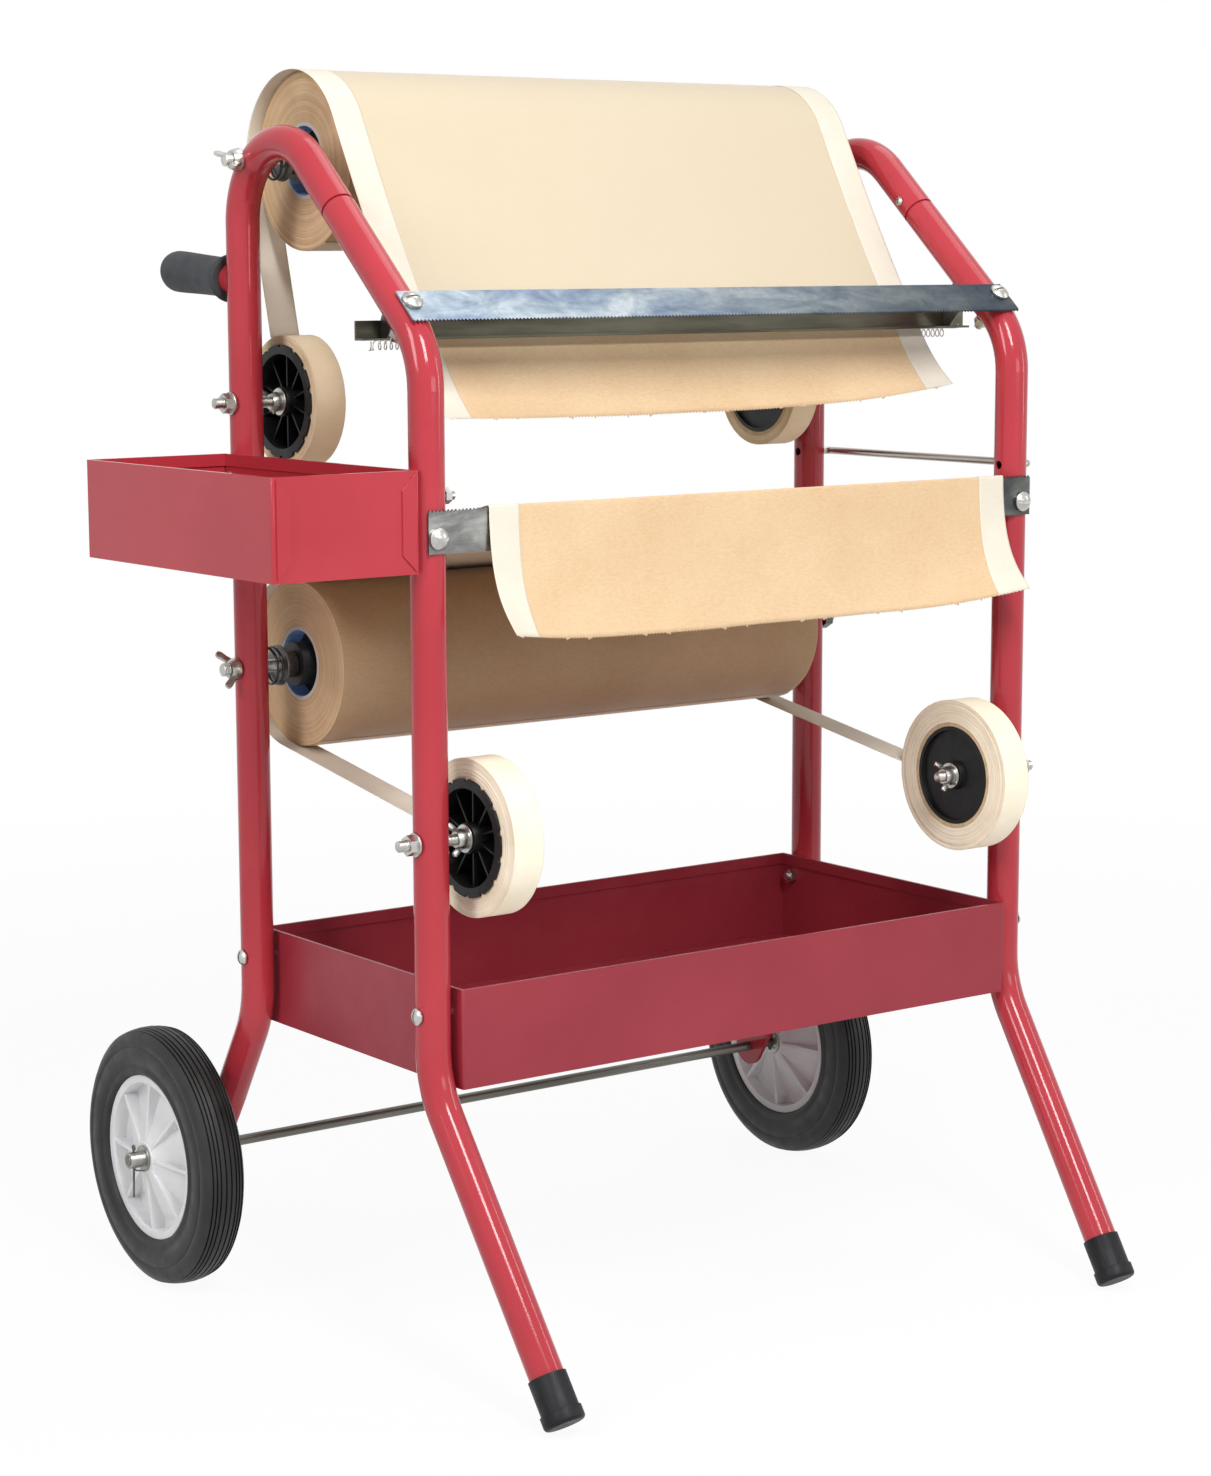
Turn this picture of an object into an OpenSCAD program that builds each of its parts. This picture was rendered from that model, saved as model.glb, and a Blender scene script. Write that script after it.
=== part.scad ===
// Masking paper dispenser trolley: two bent tube side frames on wheels carry two
// paper rolls, four tape rolls, two tear-off blades, a bottom tray and a tool tray.
// Millimetres, Z up from the floor, X to the right and -Y to the front.

/* [Frame tubes] */
// Gap between each end of the paper and the tube beside it
side_gap = 29; // [26:0.5:40]
// Outside diameter of the frame tubes
tube_d = 25; // [22:0.5:30]
// Wall thickness of the frame tubes
tube_wall = 1.5; // [1:0.1:2.5]
// Distance between the front and rear uprights
upright_pitch = 240; // [220:1:280]
// Slope of the top tubes from the level, in degrees
top_slope = 41.5; // [38:0.5:45]
// Height where the front upright and the sloping tube cross
front_corner_z = 723; // [690:1:760]
// Bend radius at the front of the sloping tube
front_bend_r = 62; // [50:1:80]
// Bend radius at the top of the rear tube
top_bend_r = 57; // [50:1:65]
// Bend radius of the four legs
leg_bend_r = 80; // [60:1:100]
// Height where the front upright and its leg cross
front_leg_z = 215; // [195:1:235]
// Slant of the front legs from the vertical, in degrees
front_leg_slant = 34.5; // [28:0.5:40]
// Turn of the front legs towards each other, in degrees
leg_toe_in = 3.8; // [0:0.1:6]
// Height where the rear upright and its leg cross
rear_leg_z = 222; // [205:1:240]
// Distance from the front corner to the sleeve joint along the slope
joint_s = 144; // [130:1:155]
// Length of the reduced tube end inside the sleeve joint
spigot_len = 30; // [20:1:35]
// Radial clearance of the reduced tube end in the sleeve
sleeve_clear = 0.05; // [0.02:0.01:0.1]
// Gap left open between the two tubes at the sleeve joint
joint_gap = 0.8; // [0.4:0.1:1.5]
// Height of the chamfer on the front tube at the sleeve joint
shoulder = 1.4; // [0.8:0.1:2]

/* [Feet and handles] */
// Outside diameter of the rubber foot caps
cap_d = 30; // [28:0.5:36]
// Height of the rubber foot caps
cap_h = 35; // [25:1:45]
// Rubber thickness under the tube end
cap_floor = 5; // [3:0.5:8]
// Height of the handle centre line at the rear upright
handle_z = 769; // [740:1:780]
// Upward tilt of the handles, in degrees
handle_tilt = 4; // [0:0.5:8]
// Outside diameter of the handle stubs
stub_d = 22; // [18:0.5:24]
// Length of each handle grip
grip_len = 92; // [80:1:120]
// Outside diameter of the handle grips
grip_d = 30; // [27:0.5:34]
// Outside diameter of the collar on each grip
collar_d = 36; // [34:0.5:42]

/* [Wheels] */
// Outside diameter of the wheels
wheel_d = 200; // [180:1:220]
// Width of the tyres
tyre_w = 36; // [30:1:42]
// Distance from the rear uprights back to the axle
axle_back = 74.5; // [65:0.5:85]
// Diameter of the axle
axle_d = 8; // [7:0.5:10]
// Distance from the tube centre line to the middle of the wheel
wheel_out = 43; // [41:0.5:48]
// Diameter of the wheel rims under the tyres
rim_d = 128; // [118:1:138]
// Width of the wheel hubs along the axle
hub_w = 36; // [32:1:42]
// Radial clearance of the wheel hubs on the axle
axle_clear = 0.06; // [0.02:0.01:0.1]
// Outside diameter of the flanged collars that hold the wheels on
end_collar_d = 12.5; // [11:0.5:14]
// Length of the flanged collars outside the wheels
end_collar_len = 12; // [9:0.5:15]
// Diameter of the axle washers
axle_washer_d = 20; // [17:0.5:24]

/* [Paper rolls] */
// Width of the masking paper
paper_w = 457; // [440:1:480]
// Outside diameter of the upper paper roll
upper_roll_d = 129; // [110:1:140]
// Outside diameter of the lower paper roll
lower_roll_d = 124.5; // [100:0.5:135]
// Height of the lower roll rod
lower_roll_z = 484; // [470:1:500]
// Place of the upper roll rod round the top bend, in degrees
upper_rod_angle = 50; // [44:1:60]
// Outside diameter of the paper cores
core_d = 56; // [50:1:62]
// Wall thickness of the paper cores
core_wall = 3; // [2:0.5:4]
// Diameter of the roll rods
rod_d = 10; // [9:0.5:12]
// Radial clearance of the roll plugs on the rods
rod_clear = 0.06; // [0.02:0.01:0.1]
// How far each plug stands out of the paper roll
plug_out = 6; // [4:0.5:8]
// Diameter of the plug noses
plug_nose_d = 33; // [30:1:38]
// Length of the drag spring between tube and spacer
drag_len = 10; // [9:0.5:12]

/* [Tape rolls] */
// Width of the masking tape
tape_w = 25; // [22:1:28]
// How far the tape stands out past the paper edge
tape_out = 10.5; // [8:0.5:12]
// Outside diameter of the two upper tape rolls
upper_tape_d = 97; // [92:1:110]
// Outside diameter of the lower left tape roll
lower_left_tape_d = 112; // [95:1:116]
// Outside diameter of the lower right tape roll
lower_right_tape_d = 117; // [95:1:120]
// Inside diameter of the tape cores
tape_core_id = 76; // [72:0.5:78]
// Wall thickness of the tape cores
tape_core_wall = 3; // [2:0.5:4]
// Height of the lower tape studs
lower_stud_z = 386; // [375:1:395]
// Height of the upper tape studs
upper_stud_z = 680; // [672:1:690]
// Diameter of the tape studs
stud_d = 8; // [7:0.5:9]
// Radial clearance of the tape hubs on the studs
stud_clear = 0.06; // [0.02:0.01:0.1]

/* [Trays] */
// Sheet thickness of the trays
tray_t = 1.2; // [0.8:0.1:2]
// Height of the bottom tray
tray_h = 71; // [60:1:80]
// Height of the underside of the bottom tray
tray_z = 212; // [200:1:225]
// How far the bottom tray reaches in front of the front uprights
tray_front = 16.5; // [14:0.5:20]
// How far the bottom tray reaches behind the rear uprights
tray_rear = 14; // [13:0.5:18]
// Height of the bottom tray screws
tray_screw_z = 265; // [258:1:268]
// Height of the folded hem along the tray edges
hem_h = 9; // [6:0.5:11]
// Play between the sides of the bottom tray and the frame
tray_play = 0.7; // [0.6:0.1:1.5]
// Width of the tool tray out from the frame
tool_w = 115; // [90:1:130]
// Height of the tool tray
tool_h = 70; // [60:1:80]
// Height of the underside of the tool tray
tool_z = 573; // [565:1:580]
// How far the tool tray reaches past each upright
tool_past = 11; // [10:0.5:16]
// Height of the tool tray screws and of the open holes opposite
tool_screw_z = 624; // [615:1:628]

/* [Blades and tension bar] */
// Sheet thickness of the blades
blade_t = 1.2; // [0.8:0.1:2]
// Width of the blades
blade_w = 30; // [26:0.5:34]
// How far each blade reaches past the tube centre line
blade_past = 8; // [6:0.5:12]
// Spacing of the blade teeth
tooth_pitch = 3; // [2.5:0.1:4]
// Depth of the blade teeth
tooth_depth = 1.8; // [1:0.1:2.5]
// Distance from the front corner to the upper blade along the slope
upper_blade_s = 13; // [10:0.5:18]
// Height of the bottom edge of the lower blade
lower_blade_z = 586; // [580:0.5:590]
// Depth of the stiffening flange on each blade
blade_flange = 8; // [6:0.5:10]
// Distance from the front uprights back to the tension bar
bar_y = 70; // [66:0.5:74]
// Height of the underside of the tension bar
bar_z = 728; // [722:0.5:732]
// Height of the tension bar
bar_h = 13.5; // [12:0.5:16]
// Sheet thickness of the tension bar and its brackets
bar_t = 1.6; // [1.2:0.1:2.5]
// Depth of the tension bar flange
bar_flange = 9; // [7:0.5:11]
// Wire diameter of the tension spring
spring_wire = 0.9; // [0.7:0.05:1.1]
// Outside diameter of the tension spring
spring_d = 7.5; // [6.5:0.1:8.5]
// Number of curls in the tension spring
spring_turns = 82; // [60:1:84]

/* [Fasteners and rail] */
// Diameter of the frame screws
screw_d = 6; // [5:0.5:7]
// Play of a screw in the open holes on the inner side of the right uprights
open_play = 0.6; // [0.4:0.1:1]
// Diameter of the pan heads
head_d = 12; // [11:0.5:13]
// Height of the pan heads
head_h = 4; // [3:0.5:5]
// Diameter of the dome heads on the blades
dome_d = 15; // [13:0.5:17]
// Height of the dome heads on the blades
dome_h = 5; // [4:0.5:6]
// Diameter of the self-tapping screws in the sleeve joints
tapping_d = 4; // [3.5:0.1:5]
// Height of the hex nuts
nut_h = 5; // [4:0.5:6]
// Diameter of the side rail wire
rail_d = 6; // [5:0.5:6.5]
// Distance of the side rail from the tube surface
rail_out = 8; // [6:0.5:12]

/* [Soft webs] */
// Thickness given to the loose paper
web_t = 0.4; // [0.3:0.05:0.6]
// Thickness given to the tape strips
strip_t = 0.4; // [0.3:0.05:0.6]
// Air gap between the turning rolls and the loose paper
roll_air = 0.3; // [0.3:0.05:0.5]
// Length of the torn paper end below the tension bar
upper_flap = 62; // [40:1:80]
// Length of the torn paper end in front of the lower blade
lower_flap = 100; // [70:1:120]

/* [Hidden] */
$fn = 48;
seat = 0.1;
fit = 0.1;
bulge = 0.04;
tube_r = tube_d / 2;
frame_w = paper_w + 2 * side_gap + tube_d;
half_w = frame_w / 2;
inner_x = half_w - tube_r;
outer_x = half_w + tube_r;

// Sloping tubes: distances s run up the slope from the front corner
rear_corner_s = upright_pitch / cos(top_slope);
rear_corner_z = front_corner_z + upright_pitch * tan(top_slope);
front_turn = 90 - top_slope;
front_tangent = front_bend_r * tan(front_turn / 2);
top_turn = 90 + top_slope;
top_tangent = top_bend_r * tan(top_turn / 2);
top_start_z = rear_corner_z - top_tangent;

// Legs
front_leg_tangent = leg_bend_r * tan(front_leg_slant / 2);
cap_round = 3;
cap_r = cap_d / 2;
cap_ring_z = (cap_r - cap_round) * sin(front_leg_slant) + cap_round;
cap_ring_len = (front_leg_z - cap_ring_z) / cos(front_leg_slant);
front_leg_len = cap_ring_len + cap_round - cap_floor;
wheel_r = wheel_d / 2;
axle_y = upright_pitch + axle_back;
rear_leg_turn = atan2(axle_back, rear_leg_z - wheel_r);
rear_leg_tangent = leg_bend_r * tan(rear_leg_turn / 2);
rear_leg_len = norm([axle_back, rear_leg_z - wheel_r]);
tab_len = 24;
tab_w = 32;
tab_t = 2 * tube_wall + 0.6;
taper_len = 34;

// Handles
grip_start = tube_r + 5;
stub_len = grip_start + grip_len - grip_d / 2;

// Wheels and axle
wheel_x = half_w + wheel_out;
washer_t = 1.5;
tyre_groove = 1.4;
pin_d = 2.5;
hub_bore_d = axle_d + 2 * axle_clear;
hub_end_gap = 0.3;
boss_d = 24;
collar_x = wheel_x + hub_w / 2 + hub_end_gap;
pin_x_out = collar_x + washer_t + 0.6 * end_collar_len;
pin_x_in = wheel_x - hub_w / 2 - hub_end_gap - washer_t - pin_d / 2 - 0.2;
axle_half = collar_x + washer_t + end_collar_len + 0.6;

// Middle of the whole object seen from above, used as the origin
foot_ay = sin(front_leg_slant) * cos(leg_toe_in);
foot_y = -cap_ring_len * foot_ay - (cap_r - cap_round) * sqrt(1 - foot_ay * foot_ay) - cap_round;
mid_x = (axle_half - (outer_x + seat + tool_w)) / 2;
mid_y = (axle_y + wheel_r + foot_y) / 2;

// Roll rods
rod_out = 3;
upper_rod = [upright_pitch - top_bend_r + (top_bend_r + rod_out) * cos(upper_rod_angle),
             top_start_z + (top_bend_r + rod_out) * sin(upper_rod_angle)];
lower_rod = [upright_pitch, lower_roll_z];
rod_bore_d = rod_d + 2 * rod_clear;
rod_half = outer_x + 13;
plug_end_x = paper_w / 2 + plug_out;
spacer_gap = 0.3;

// Tape rolls: distances along the stud from the middle of the trolley
tape_x_out = paper_w / 2 + tape_out;
tape_x_in = tape_x_out - tape_w;
hub_x_out = tape_x_out + 2;
hub_x_in = tape_x_in - 1;
hub_r = tape_core_id / 2 - seat;
stud_bore_d = stud_d + 2 * stud_clear;
tape_washer_d = 20;
scallops = 14;
hub_ribs = 10;
hub_rib_t = 1.6;
wing_h = 8;

// Bottom tray, clear of the turned-in legs
tray_half = inner_x - tray_play - 8 * tan(leg_toe_in);

// Blades
blade_half = half_w + blade_past;
blade_screw_v = 0.34 * blade_w;
upper_blade_screw_s = upper_blade_s + blade_w - blade_screw_v;
lower_blade_screw_z = lower_blade_z + blade_screw_v;
screw_len = tube_d + tray_t + nut_h + 4;
blade_edge = [-tube_r - seat - blade_t / 2, lower_blade_z + blade_w];

// Loose paper and tape
web_off = roll_air + web_t / 2;
strip_off = roll_air + web_t + 0.05 + strip_t / 2;
strip_rise = strip_off - web_off;
upper_r = upper_roll_d / 2;
lower_r = lower_roll_d / 2;
upper_edge = [bar_y + 0.8 + strip_t + 0.05 + web_t / 2, bar_z + 0.5];
lower_edge = [blade_edge[0], blade_edge[1] + 0.5 + web_t / 2];
spring_r = (spring_d - spring_wire) / 2;
spring_y = bar_y + 0.3 + strip_t + 0.05 + web_t + 0.5 + spring_d / 2;
spring_bend = 1.3;
spring_z = bar_z - spring_wire - spring_bend - spring_r;
spring_half = outer_x - 14;
hook_x = outer_x - 10;
hook_y = bar_y - bar_t - bar_flange / 2;
bar_half = outer_x - 0.5;
bracket_x = -half_w + 8;
bracket_back = bar_y - bar_t - seat;
bracket_foot = bar_z + bar_t + seat;

red = [0.72, 0.24, 0.3];
steel = [0.72, 0.72, 0.72];
dark = [0.28, 0.28, 0.26];
black = [0.1, 0.1, 0.1];
white = [0.9, 0.89, 0.84];
kraft = [0.85, 0.67, 0.45];
cream = [0.97, 0.94, 0.86];
blue = [0.25, 0.35, 0.6];

// Shared helpers

module centred() {
  translate([-mid_x, -mid_y, 0]) children();
}

module right_side() {
  mirror([1, 0, 0]) children();
}

module both_sides() {
  children();
  right_side() children();
}

// Puts a shape drawn along +Z onto the X axis through a point of the side view
module along_x(p, x = 0) {
  translate([x, p[0], p[1]]) rotate([0, 90, 0]) children();
}

// Puts a flat shape drawn as (Y, Z) across X from x0 to x1
module side_extrude(x0, x1) {
  translate([x0, 0, 0]) rotate([90, 0, 90]) linear_extrude(x1 - x0) children();
}

// Round bar bend that starts along +Z and turns towards +Y, a hair thicker than the runs
module bend(bend_r, a, r) {
  translate([0, bend_r, 0]) rotate([0, 0, -90]) rotate([90, 0, 0])
    rotate_extrude(angle = a, $fn = 96) translate([bend_r, 0]) circle(r + bulge);
}

// Round bar along +Z that reaches a little into the bend at each end
module run(len, r, before, after) {
  translate([0, 0, -before]) cylinder(r = r, h = len + before + after);
}

module after_bend(r, a) {
  translate([0, r - r * cos(a), r * sin(a)]) rotate([-a, 0, 0]) children();
}

module pan_head(d, h) {
  dome_r = 0.68 * d;
  slot_w = 0.12 * d;
  difference() {
    intersection() {
      cylinder(d = d, h = h);
      translate([0, 0, h - dome_r]) sphere(dome_r);
    }
    translate([-d, -slot_w / 2, h * 0.55]) cube([2 * d, slot_w, h]);
  }
}

// Screw with its head seat at the origin, head towards +Z
module screw(len, d = screw_d, wide = head_d, high = head_h) {
  pan_head(wide, high);
  translate([0, 0, -len]) cylinder(d = d, h = len + 0.2);
}

module nut(d, h, af) {
  difference() {
    cylinder(r = af / 2 / cos(30), h = h, $fn = 6);
    translate([0, 0, -1]) cylinder(d = d + fit, h = h + 2);
  }
}

module flat_washer(d, bore, t) {
  difference() {
    cylinder(d = d, h = t);
    translate([0, 0, -1]) cylinder(d = bore, h = t + 2);
  }
}

// Wing nut standing on z = 0
module wing_nut(d) {
  difference() {
    union() {
      cylinder(d1 = d + 7, d2 = d + 4, h = wing_h - 1);
      for (a = [0, 180]) rotate([90, 0, a]) translate([0, 0, -1.2]) linear_extrude(2.4) {
        polygon([[d / 2 + 0.6, 0.8], [d / 2 + 3.2, 0.8], [d / 2 + 10.5, 6.5],
                 [d / 2 + 5.5, 11.5], [d / 2 + 0.6, 6.5]]);
        translate([d / 2 + 8, 9]) circle(d = 7);
      }
    }
    translate([0, 0, -1]) cylinder(d = d + fit, h = wing_h + 8);
  }
}

// Wound tube sweep: rings of points along a path, closed at both ends
function unit(v) = v / norm(v);
function tangents(p) = [for (i = [0 : len(p) - 1])
  unit(p[min(i + 1, len(p) - 1)] - p[max(i - 1, 0)])];
function carried(t, n0) = [for (i = 0, n = unit(n0 - (n0 * t[0]) * t[0]); i < len(t);
  i = i + 1, n = i < len(t) ? unit(n - (n * t[i]) * t[i]) : n) n];
function wire_points(p, r, n0, k = 6) = let (t = tangents(p), n = carried(t, n0))
  [for (i = [0 : len(p) - 1]) for (j = [0 : k - 1])
    p[i] + r * (cos(360 * j / k) * n[i] + sin(360 * j / k) * cross(t[i], n[i]))];
function wire_faces(m, k = 6) = concat(
  [for (j = [1 : k - 2]) [0, j, j + 1]],
  [for (i = [0 : m - 2]) for (j = [0 : k - 1])
    [i * k + j, (i + 1) * k + j, i * k + (j + 1) % k]],
  [for (i = [0 : m - 2]) for (j = [0 : k - 1])
    [i * k + (j + 1) % k, (i + 1) * k + j, (i + 1) * k + (j + 1) % k]],
  [for (j = [1 : k - 2]) [(m - 1) * k, (m - 1) * k + j + 1, (m - 1) * k + j]]);
function least_gap(p, d) = min([for (i = [0 : len(p) - 1])
  for (j = [i + 5 : min(i + 20, len(p) - 1)]) if (j < len(p)) norm(p[i] - p[j])]) - d;

module wire(p, d, n0) {
  polyhedron(wire_points(p, d / 2, n0), wire_faces(len(p)), convexity = 10);
}

// Closed outline of a thin band that follows a path in the side view
function side_normal(p, i) = let (t = unit(p[min(i + 1, len(p) - 1)] - p[max(i - 1, 0)])) [-t[1], t[0]];
function band(p, t) = concat(
  [for (i = [0 : len(p) - 1]) p[i] + t / 2 * side_normal(p, i)],
  [for (i = [len(p) - 1 : -1 : 0]) p[i] - t / 2 * side_normal(p, i)]);
function shifted(p, d) = [for (i = [0 : len(p) - 1]) p[i] + d * side_normal(p, i)];
function arc(c, r, a0, a1, n) = [for (i = [0 : n]) let (a = a0 + (a1 - a0) * i / n)
  [c[0] + r * cos(a), c[1] + r * sin(a)]];

// Torn end: hangs from a point, starting and ending at angles below the level
function flap(p, len, a0, a1, n) = [for (i = 0, q = p; i <= n; i = i + 1,
  q = q - len / n * [cos(a0 + (a1 - a0) * i / n), sin(a0 + (a1 - a0) * i / n)]) q];

// Direction of the straight run from a point to the upper side of a roll
function over_angle(p, c, r) = atan2(c[1] - p[1], c[0] - p[0]) + asin(r / norm(c - p));
function under_angle(p, c, r) = atan2(c[1] - p[1], c[0] - p[0]) - asin(r / norm(c - p));

fold_r = 1.5;
fold_end = 160;
upper_lead = over_angle(upper_edge, upper_rod, upper_r + web_off);
lower_lead = over_angle(lower_edge, lower_rod, lower_r + web_off);
upper_free = concat([upper_rod + (upper_r + web_off) * [-sin(upper_lead), cos(upper_lead)]],
  flap(upper_edge, upper_flap, upper_lead, 82, 10));
lower_free = concat([lower_rod + (lower_r + web_off) * [-sin(lower_lead), cos(lower_lead)]],
  arc(lower_edge - [0, fold_r], fold_r, 90 + lower_lead, fold_end, 6),
  [for (i = [1 : 10]) flap(lower_edge + fold_r * [cos(fold_end), sin(fold_end) - 1], lower_flap,
    fold_end - 90, 86, 10)[i]]);

// Frame

// Centre line of the left front tube swept with a round of radius r
module front_sweep(r, past) {
  translate([-half_w, 0, 0]) {
    translate([0, 0, front_leg_z + front_leg_tangent]) {
      run(front_corner_z - front_tangent - front_leg_z - front_leg_tangent, r, 1, 1);
      rotate([180, 0, leg_toe_in]) {
        bend(leg_bend_r, front_leg_slant, r);
        after_bend(leg_bend_r, front_leg_slant) run(front_leg_len - front_leg_tangent, r, 1, past);
      }
    }
    translate([0, 0, front_corner_z - front_tangent]) {
      bend(front_bend_r, front_turn, r);
      after_bend(front_bend_r, front_turn) run(joint_s - front_tangent - shoulder, r, 1, past);
    }
  }
}

module front_tube(open_hole = false) {
  color(red) difference() {
    union() {
      difference() {
        front_sweep(tube_r, 0);
        front_sweep(tube_r - tube_wall, 1);
      }
      slope_place(joint_s) rotate([-90, 0, 0]) spigot();
    }
    along_x([0, tray_screw_z], -half_w) hole(screw_d + fit);
    along_x([0, tool_screw_z], -half_w) hole(screw_d + fit);
    if (open_hole) along_x([0, tool_screw_z], -half_w) cylinder(d = screw_d + open_play, h = tube_d);
    along_x([0, lower_stud_z], -half_w) hole(stud_d + fit);
    translate([-half_w, 0, lower_blade_screw_z]) rotate([90, 0, 0]) hole(screw_d + fit);
    slope_place(upper_blade_screw_s) hole(screw_d + fit);
    joint_screw_place() cylinder(d = tapping_d + fit, h = 24, center = true);
  }
}

// Reduced end of the front tube that slides into the rear tube, behind a chamfered shoulder
module spigot() {
  neck = tube_r - tube_wall - sleeve_clear;
  root = shoulder + 5;
  difference() {
    union() {
      translate([0, 0, -root]) cylinder(r = neck, h = spigot_len + root);
      translate([0, 0, -root]) cylinder(r = tube_r - 0.2, h = root - shoulder);
      translate([0, 0, -shoulder]) cylinder(r1 = tube_r, r2 = tube_r - 0.6 * shoulder, h = shoulder);
    }
    translate([0, 0, -root - 1]) cylinder(r = neck - tube_wall, h = spigot_len + root + 2);
  }
}

module hole(d) {
  cylinder(d = d, h = 2 * tube_d, center = true);
}

// Square to the left sloping tube at a distance up the slope
module slope_place(s) {
  translate([-half_w, s * cos(top_slope), front_corner_z + s * sin(top_slope)])
    rotate([top_slope, 0, 0]) children();
}

module joint_screw_place() {
  s = joint_s + 12;
  along_x([s * cos(top_slope), front_corner_z + s * sin(top_slope)], -inner_x) children();
}

// Centre line of the left rear tube swept with a round of radius r
module rear_sweep(r, past) {
  translate([-half_w, upright_pitch, 0]) {
    translate([0, 0, rear_leg_z + rear_leg_tangent]) {
      run(top_start_z - rear_leg_z - rear_leg_tangent, r, 1, 1);
      rotate([0, 180, 0]) {
        bend(leg_bend_r, rear_leg_turn, r);
        after_bend(leg_bend_r, rear_leg_turn)
          run(rear_leg_len - rear_leg_tangent - tab_len - taper_len, r, 1, past);
      }
    }
    translate([0, 0, top_start_z]) rotate([0, 0, 180]) {
      bend(top_bend_r, top_turn, r);
      after_bend(top_bend_r, top_turn)
        run(rear_corner_s - top_tangent - joint_s - joint_gap, r, 1, past);
    }
  }
}

module rear_tube(open_hole = false) {
  color(red) difference() {
    union() {
      difference() {
        rear_sweep(tube_r, 0);
        rear_sweep(tube_r - tube_wall, 1);
      }
      translate([-half_w, axle_y, wheel_r]) rotate([180 + rear_leg_turn, 0, 0])
        translate([0, 0, -tab_len - taper_len]) axle_tab();
    }
    along_x([upright_pitch, tray_screw_z], -half_w) hole(screw_d + fit);
    along_x([upright_pitch, tool_screw_z], -half_w) hole(screw_d + fit);
    if (open_hole) along_x([upright_pitch, tool_screw_z], -half_w)
      cylinder(d = screw_d + open_play, h = tube_d);
    along_x([upright_pitch, upper_stud_z], -half_w) hole(stud_d + fit);
    along_x(upper_rod, -half_w) hole(rod_d + fit);
    along_x(lower_rod, -half_w) hole(rod_d + fit);
    along_x([axle_y, wheel_r], -half_w) hole(axle_d + fit);
    joint_screw_place() cylinder(d = tapping_d + fit, h = 24, center = true);
  }
}

// Tube end pressed flat for the axle, drawn down +Z from the round tube
module axle_tab() {
  difference() {
    hull() {
      translate([0, 0, -0.5]) cylinder(r = tube_r + 2 * bulge, h = 1);
      translate([-tab_t / 2, -tab_w / 2, taper_len - 0.5]) cube([tab_t, tab_w, 0.5]);
    }
    translate([0, 0, -1]) cylinder(r1 = tube_r - tube_wall, r2 = 0.5, h = taper_len * 0.7);
  }
  translate([-tab_t / 2, -tab_w / 2, taper_len - 0.2]) cube([tab_t, tab_w, tab_len + 0.2]);
  translate([0, 0, taper_len + tab_len]) rotate([0, 90, 0])
    cylinder(d = tab_w, h = tab_t, center = true);
}

module left_front_tube() centred() front_tube();
module right_front_tube() centred() right_side() front_tube(open_hole = true);
module left_rear_tube() centred() rear_tube();
module right_rear_tube() centred() right_side() rear_tube(open_hole = true);

module self_tapping_screws() {
  color(steel) centred() both_sides() joint_screw_place() translate([0, 0, seat])
    screw(12, tapping_d, 1.8 * tapping_d, 0.6 * tapping_d);
}

module foot_caps() {
  color(black) centred() both_sides() foot_cap();
}

module foot_cap() {
  translate([-half_w, 0, front_leg_z]) rotate([180, 0, leg_toe_in]) rotate([-front_leg_slant, 0, 0])
    translate([0, 0, cap_ring_len + cap_round]) rotate([180, 0, 0]) rotate_extrude() difference() {
      union() {
        square([cap_r - cap_round, cap_h]);
        translate([cap_r - cap_round, cap_round]) circle(cap_round);
        translate([0, cap_round]) square([cap_r, 7]);
        translate([0, cap_round]) square([cap_r - 1.2, cap_h - cap_round]);
      }
      translate([0, cap_floor]) square([tube_r + seat, cap_h]);
    }
}

module handle_place() {
  translate([-half_w, upright_pitch, handle_z]) rotate([-90 + handle_tilt, 0, 0]) children();
}

module handle_stubs() {
  color(red) centred() both_sides() handle_stub();
}

module handle_stub() {
  difference() {
    handle_place() difference() {
      cylinder(d = stub_d, h = stub_len);
      translate([0, 0, -1]) cylinder(d = stub_d - 2 * tube_wall, h = stub_len + 2);
    }
    translate([-half_w, upright_pitch, handle_z - 30]) cylinder(r = tube_r + seat / 2, h = 60);
  }
}

module handle_grips() {
  color(black) centred() both_sides() handle_grip();
}

module handle_grip() {
  handle_place() translate([0, 0, grip_start]) rotate_extrude() difference() {
    union() {
      square([collar_d / 2, 3]);
      translate([0, 3]) square([collar_d / 2 - 1.5, 2.5]);
      square([grip_d / 2, grip_len - grip_d / 2]);
      translate([0, grip_len - grip_d / 2]) circle(grip_d / 2);
    }
    translate([-grip_d, -1]) square([grip_d, grip_len + 2]);
    translate([0, -1]) square([stub_d / 2 + seat, stub_len - grip_start + seat + 1]);
  }
}

// Axle and wheels

module axle() {
  color(dark) centred() difference() {
    union() {
      along_x([axle_y, wheel_r], -axle_half) cylinder(d = axle_d, h = 2 * axle_half);
      both_sides() translate([-half_w + tab_t / 2 + 0.4, axle_y - axle_d / 2 - 1.2, wheel_r - 2])
        cube([4, axle_d + 2.4, 4]);
    }
    both_sides() for (x = [pin_x_in, pin_x_out])
      translate([-x, axle_y, wheel_r]) cylinder(d = pin_d + fit, h = 2 * axle_d, center = true);
  }
}

module axle_split_pins() {
  color(steel) centred() both_sides() {
    translate([-pin_x_in, axle_y, wheel_r]) split_pin(axle_d / 2, 4);
    translate([-pin_x_out, axle_y, wheel_r]) split_pin(end_collar_d / 2, 24);
  }
}

// Split pin through a round of radius r, with its eye on top and its leg reaching below
module split_pin(r, leg) {
  translate([0, 0, -r - leg]) cylinder(d = pin_d, h = 2 * r + leg + 2);
  translate([0, 0, r + 3.4]) rotate([0, 90, 0]) rotate_extrude() translate([1.6, 0]) circle(0.8, $fn = 24);
}

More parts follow.
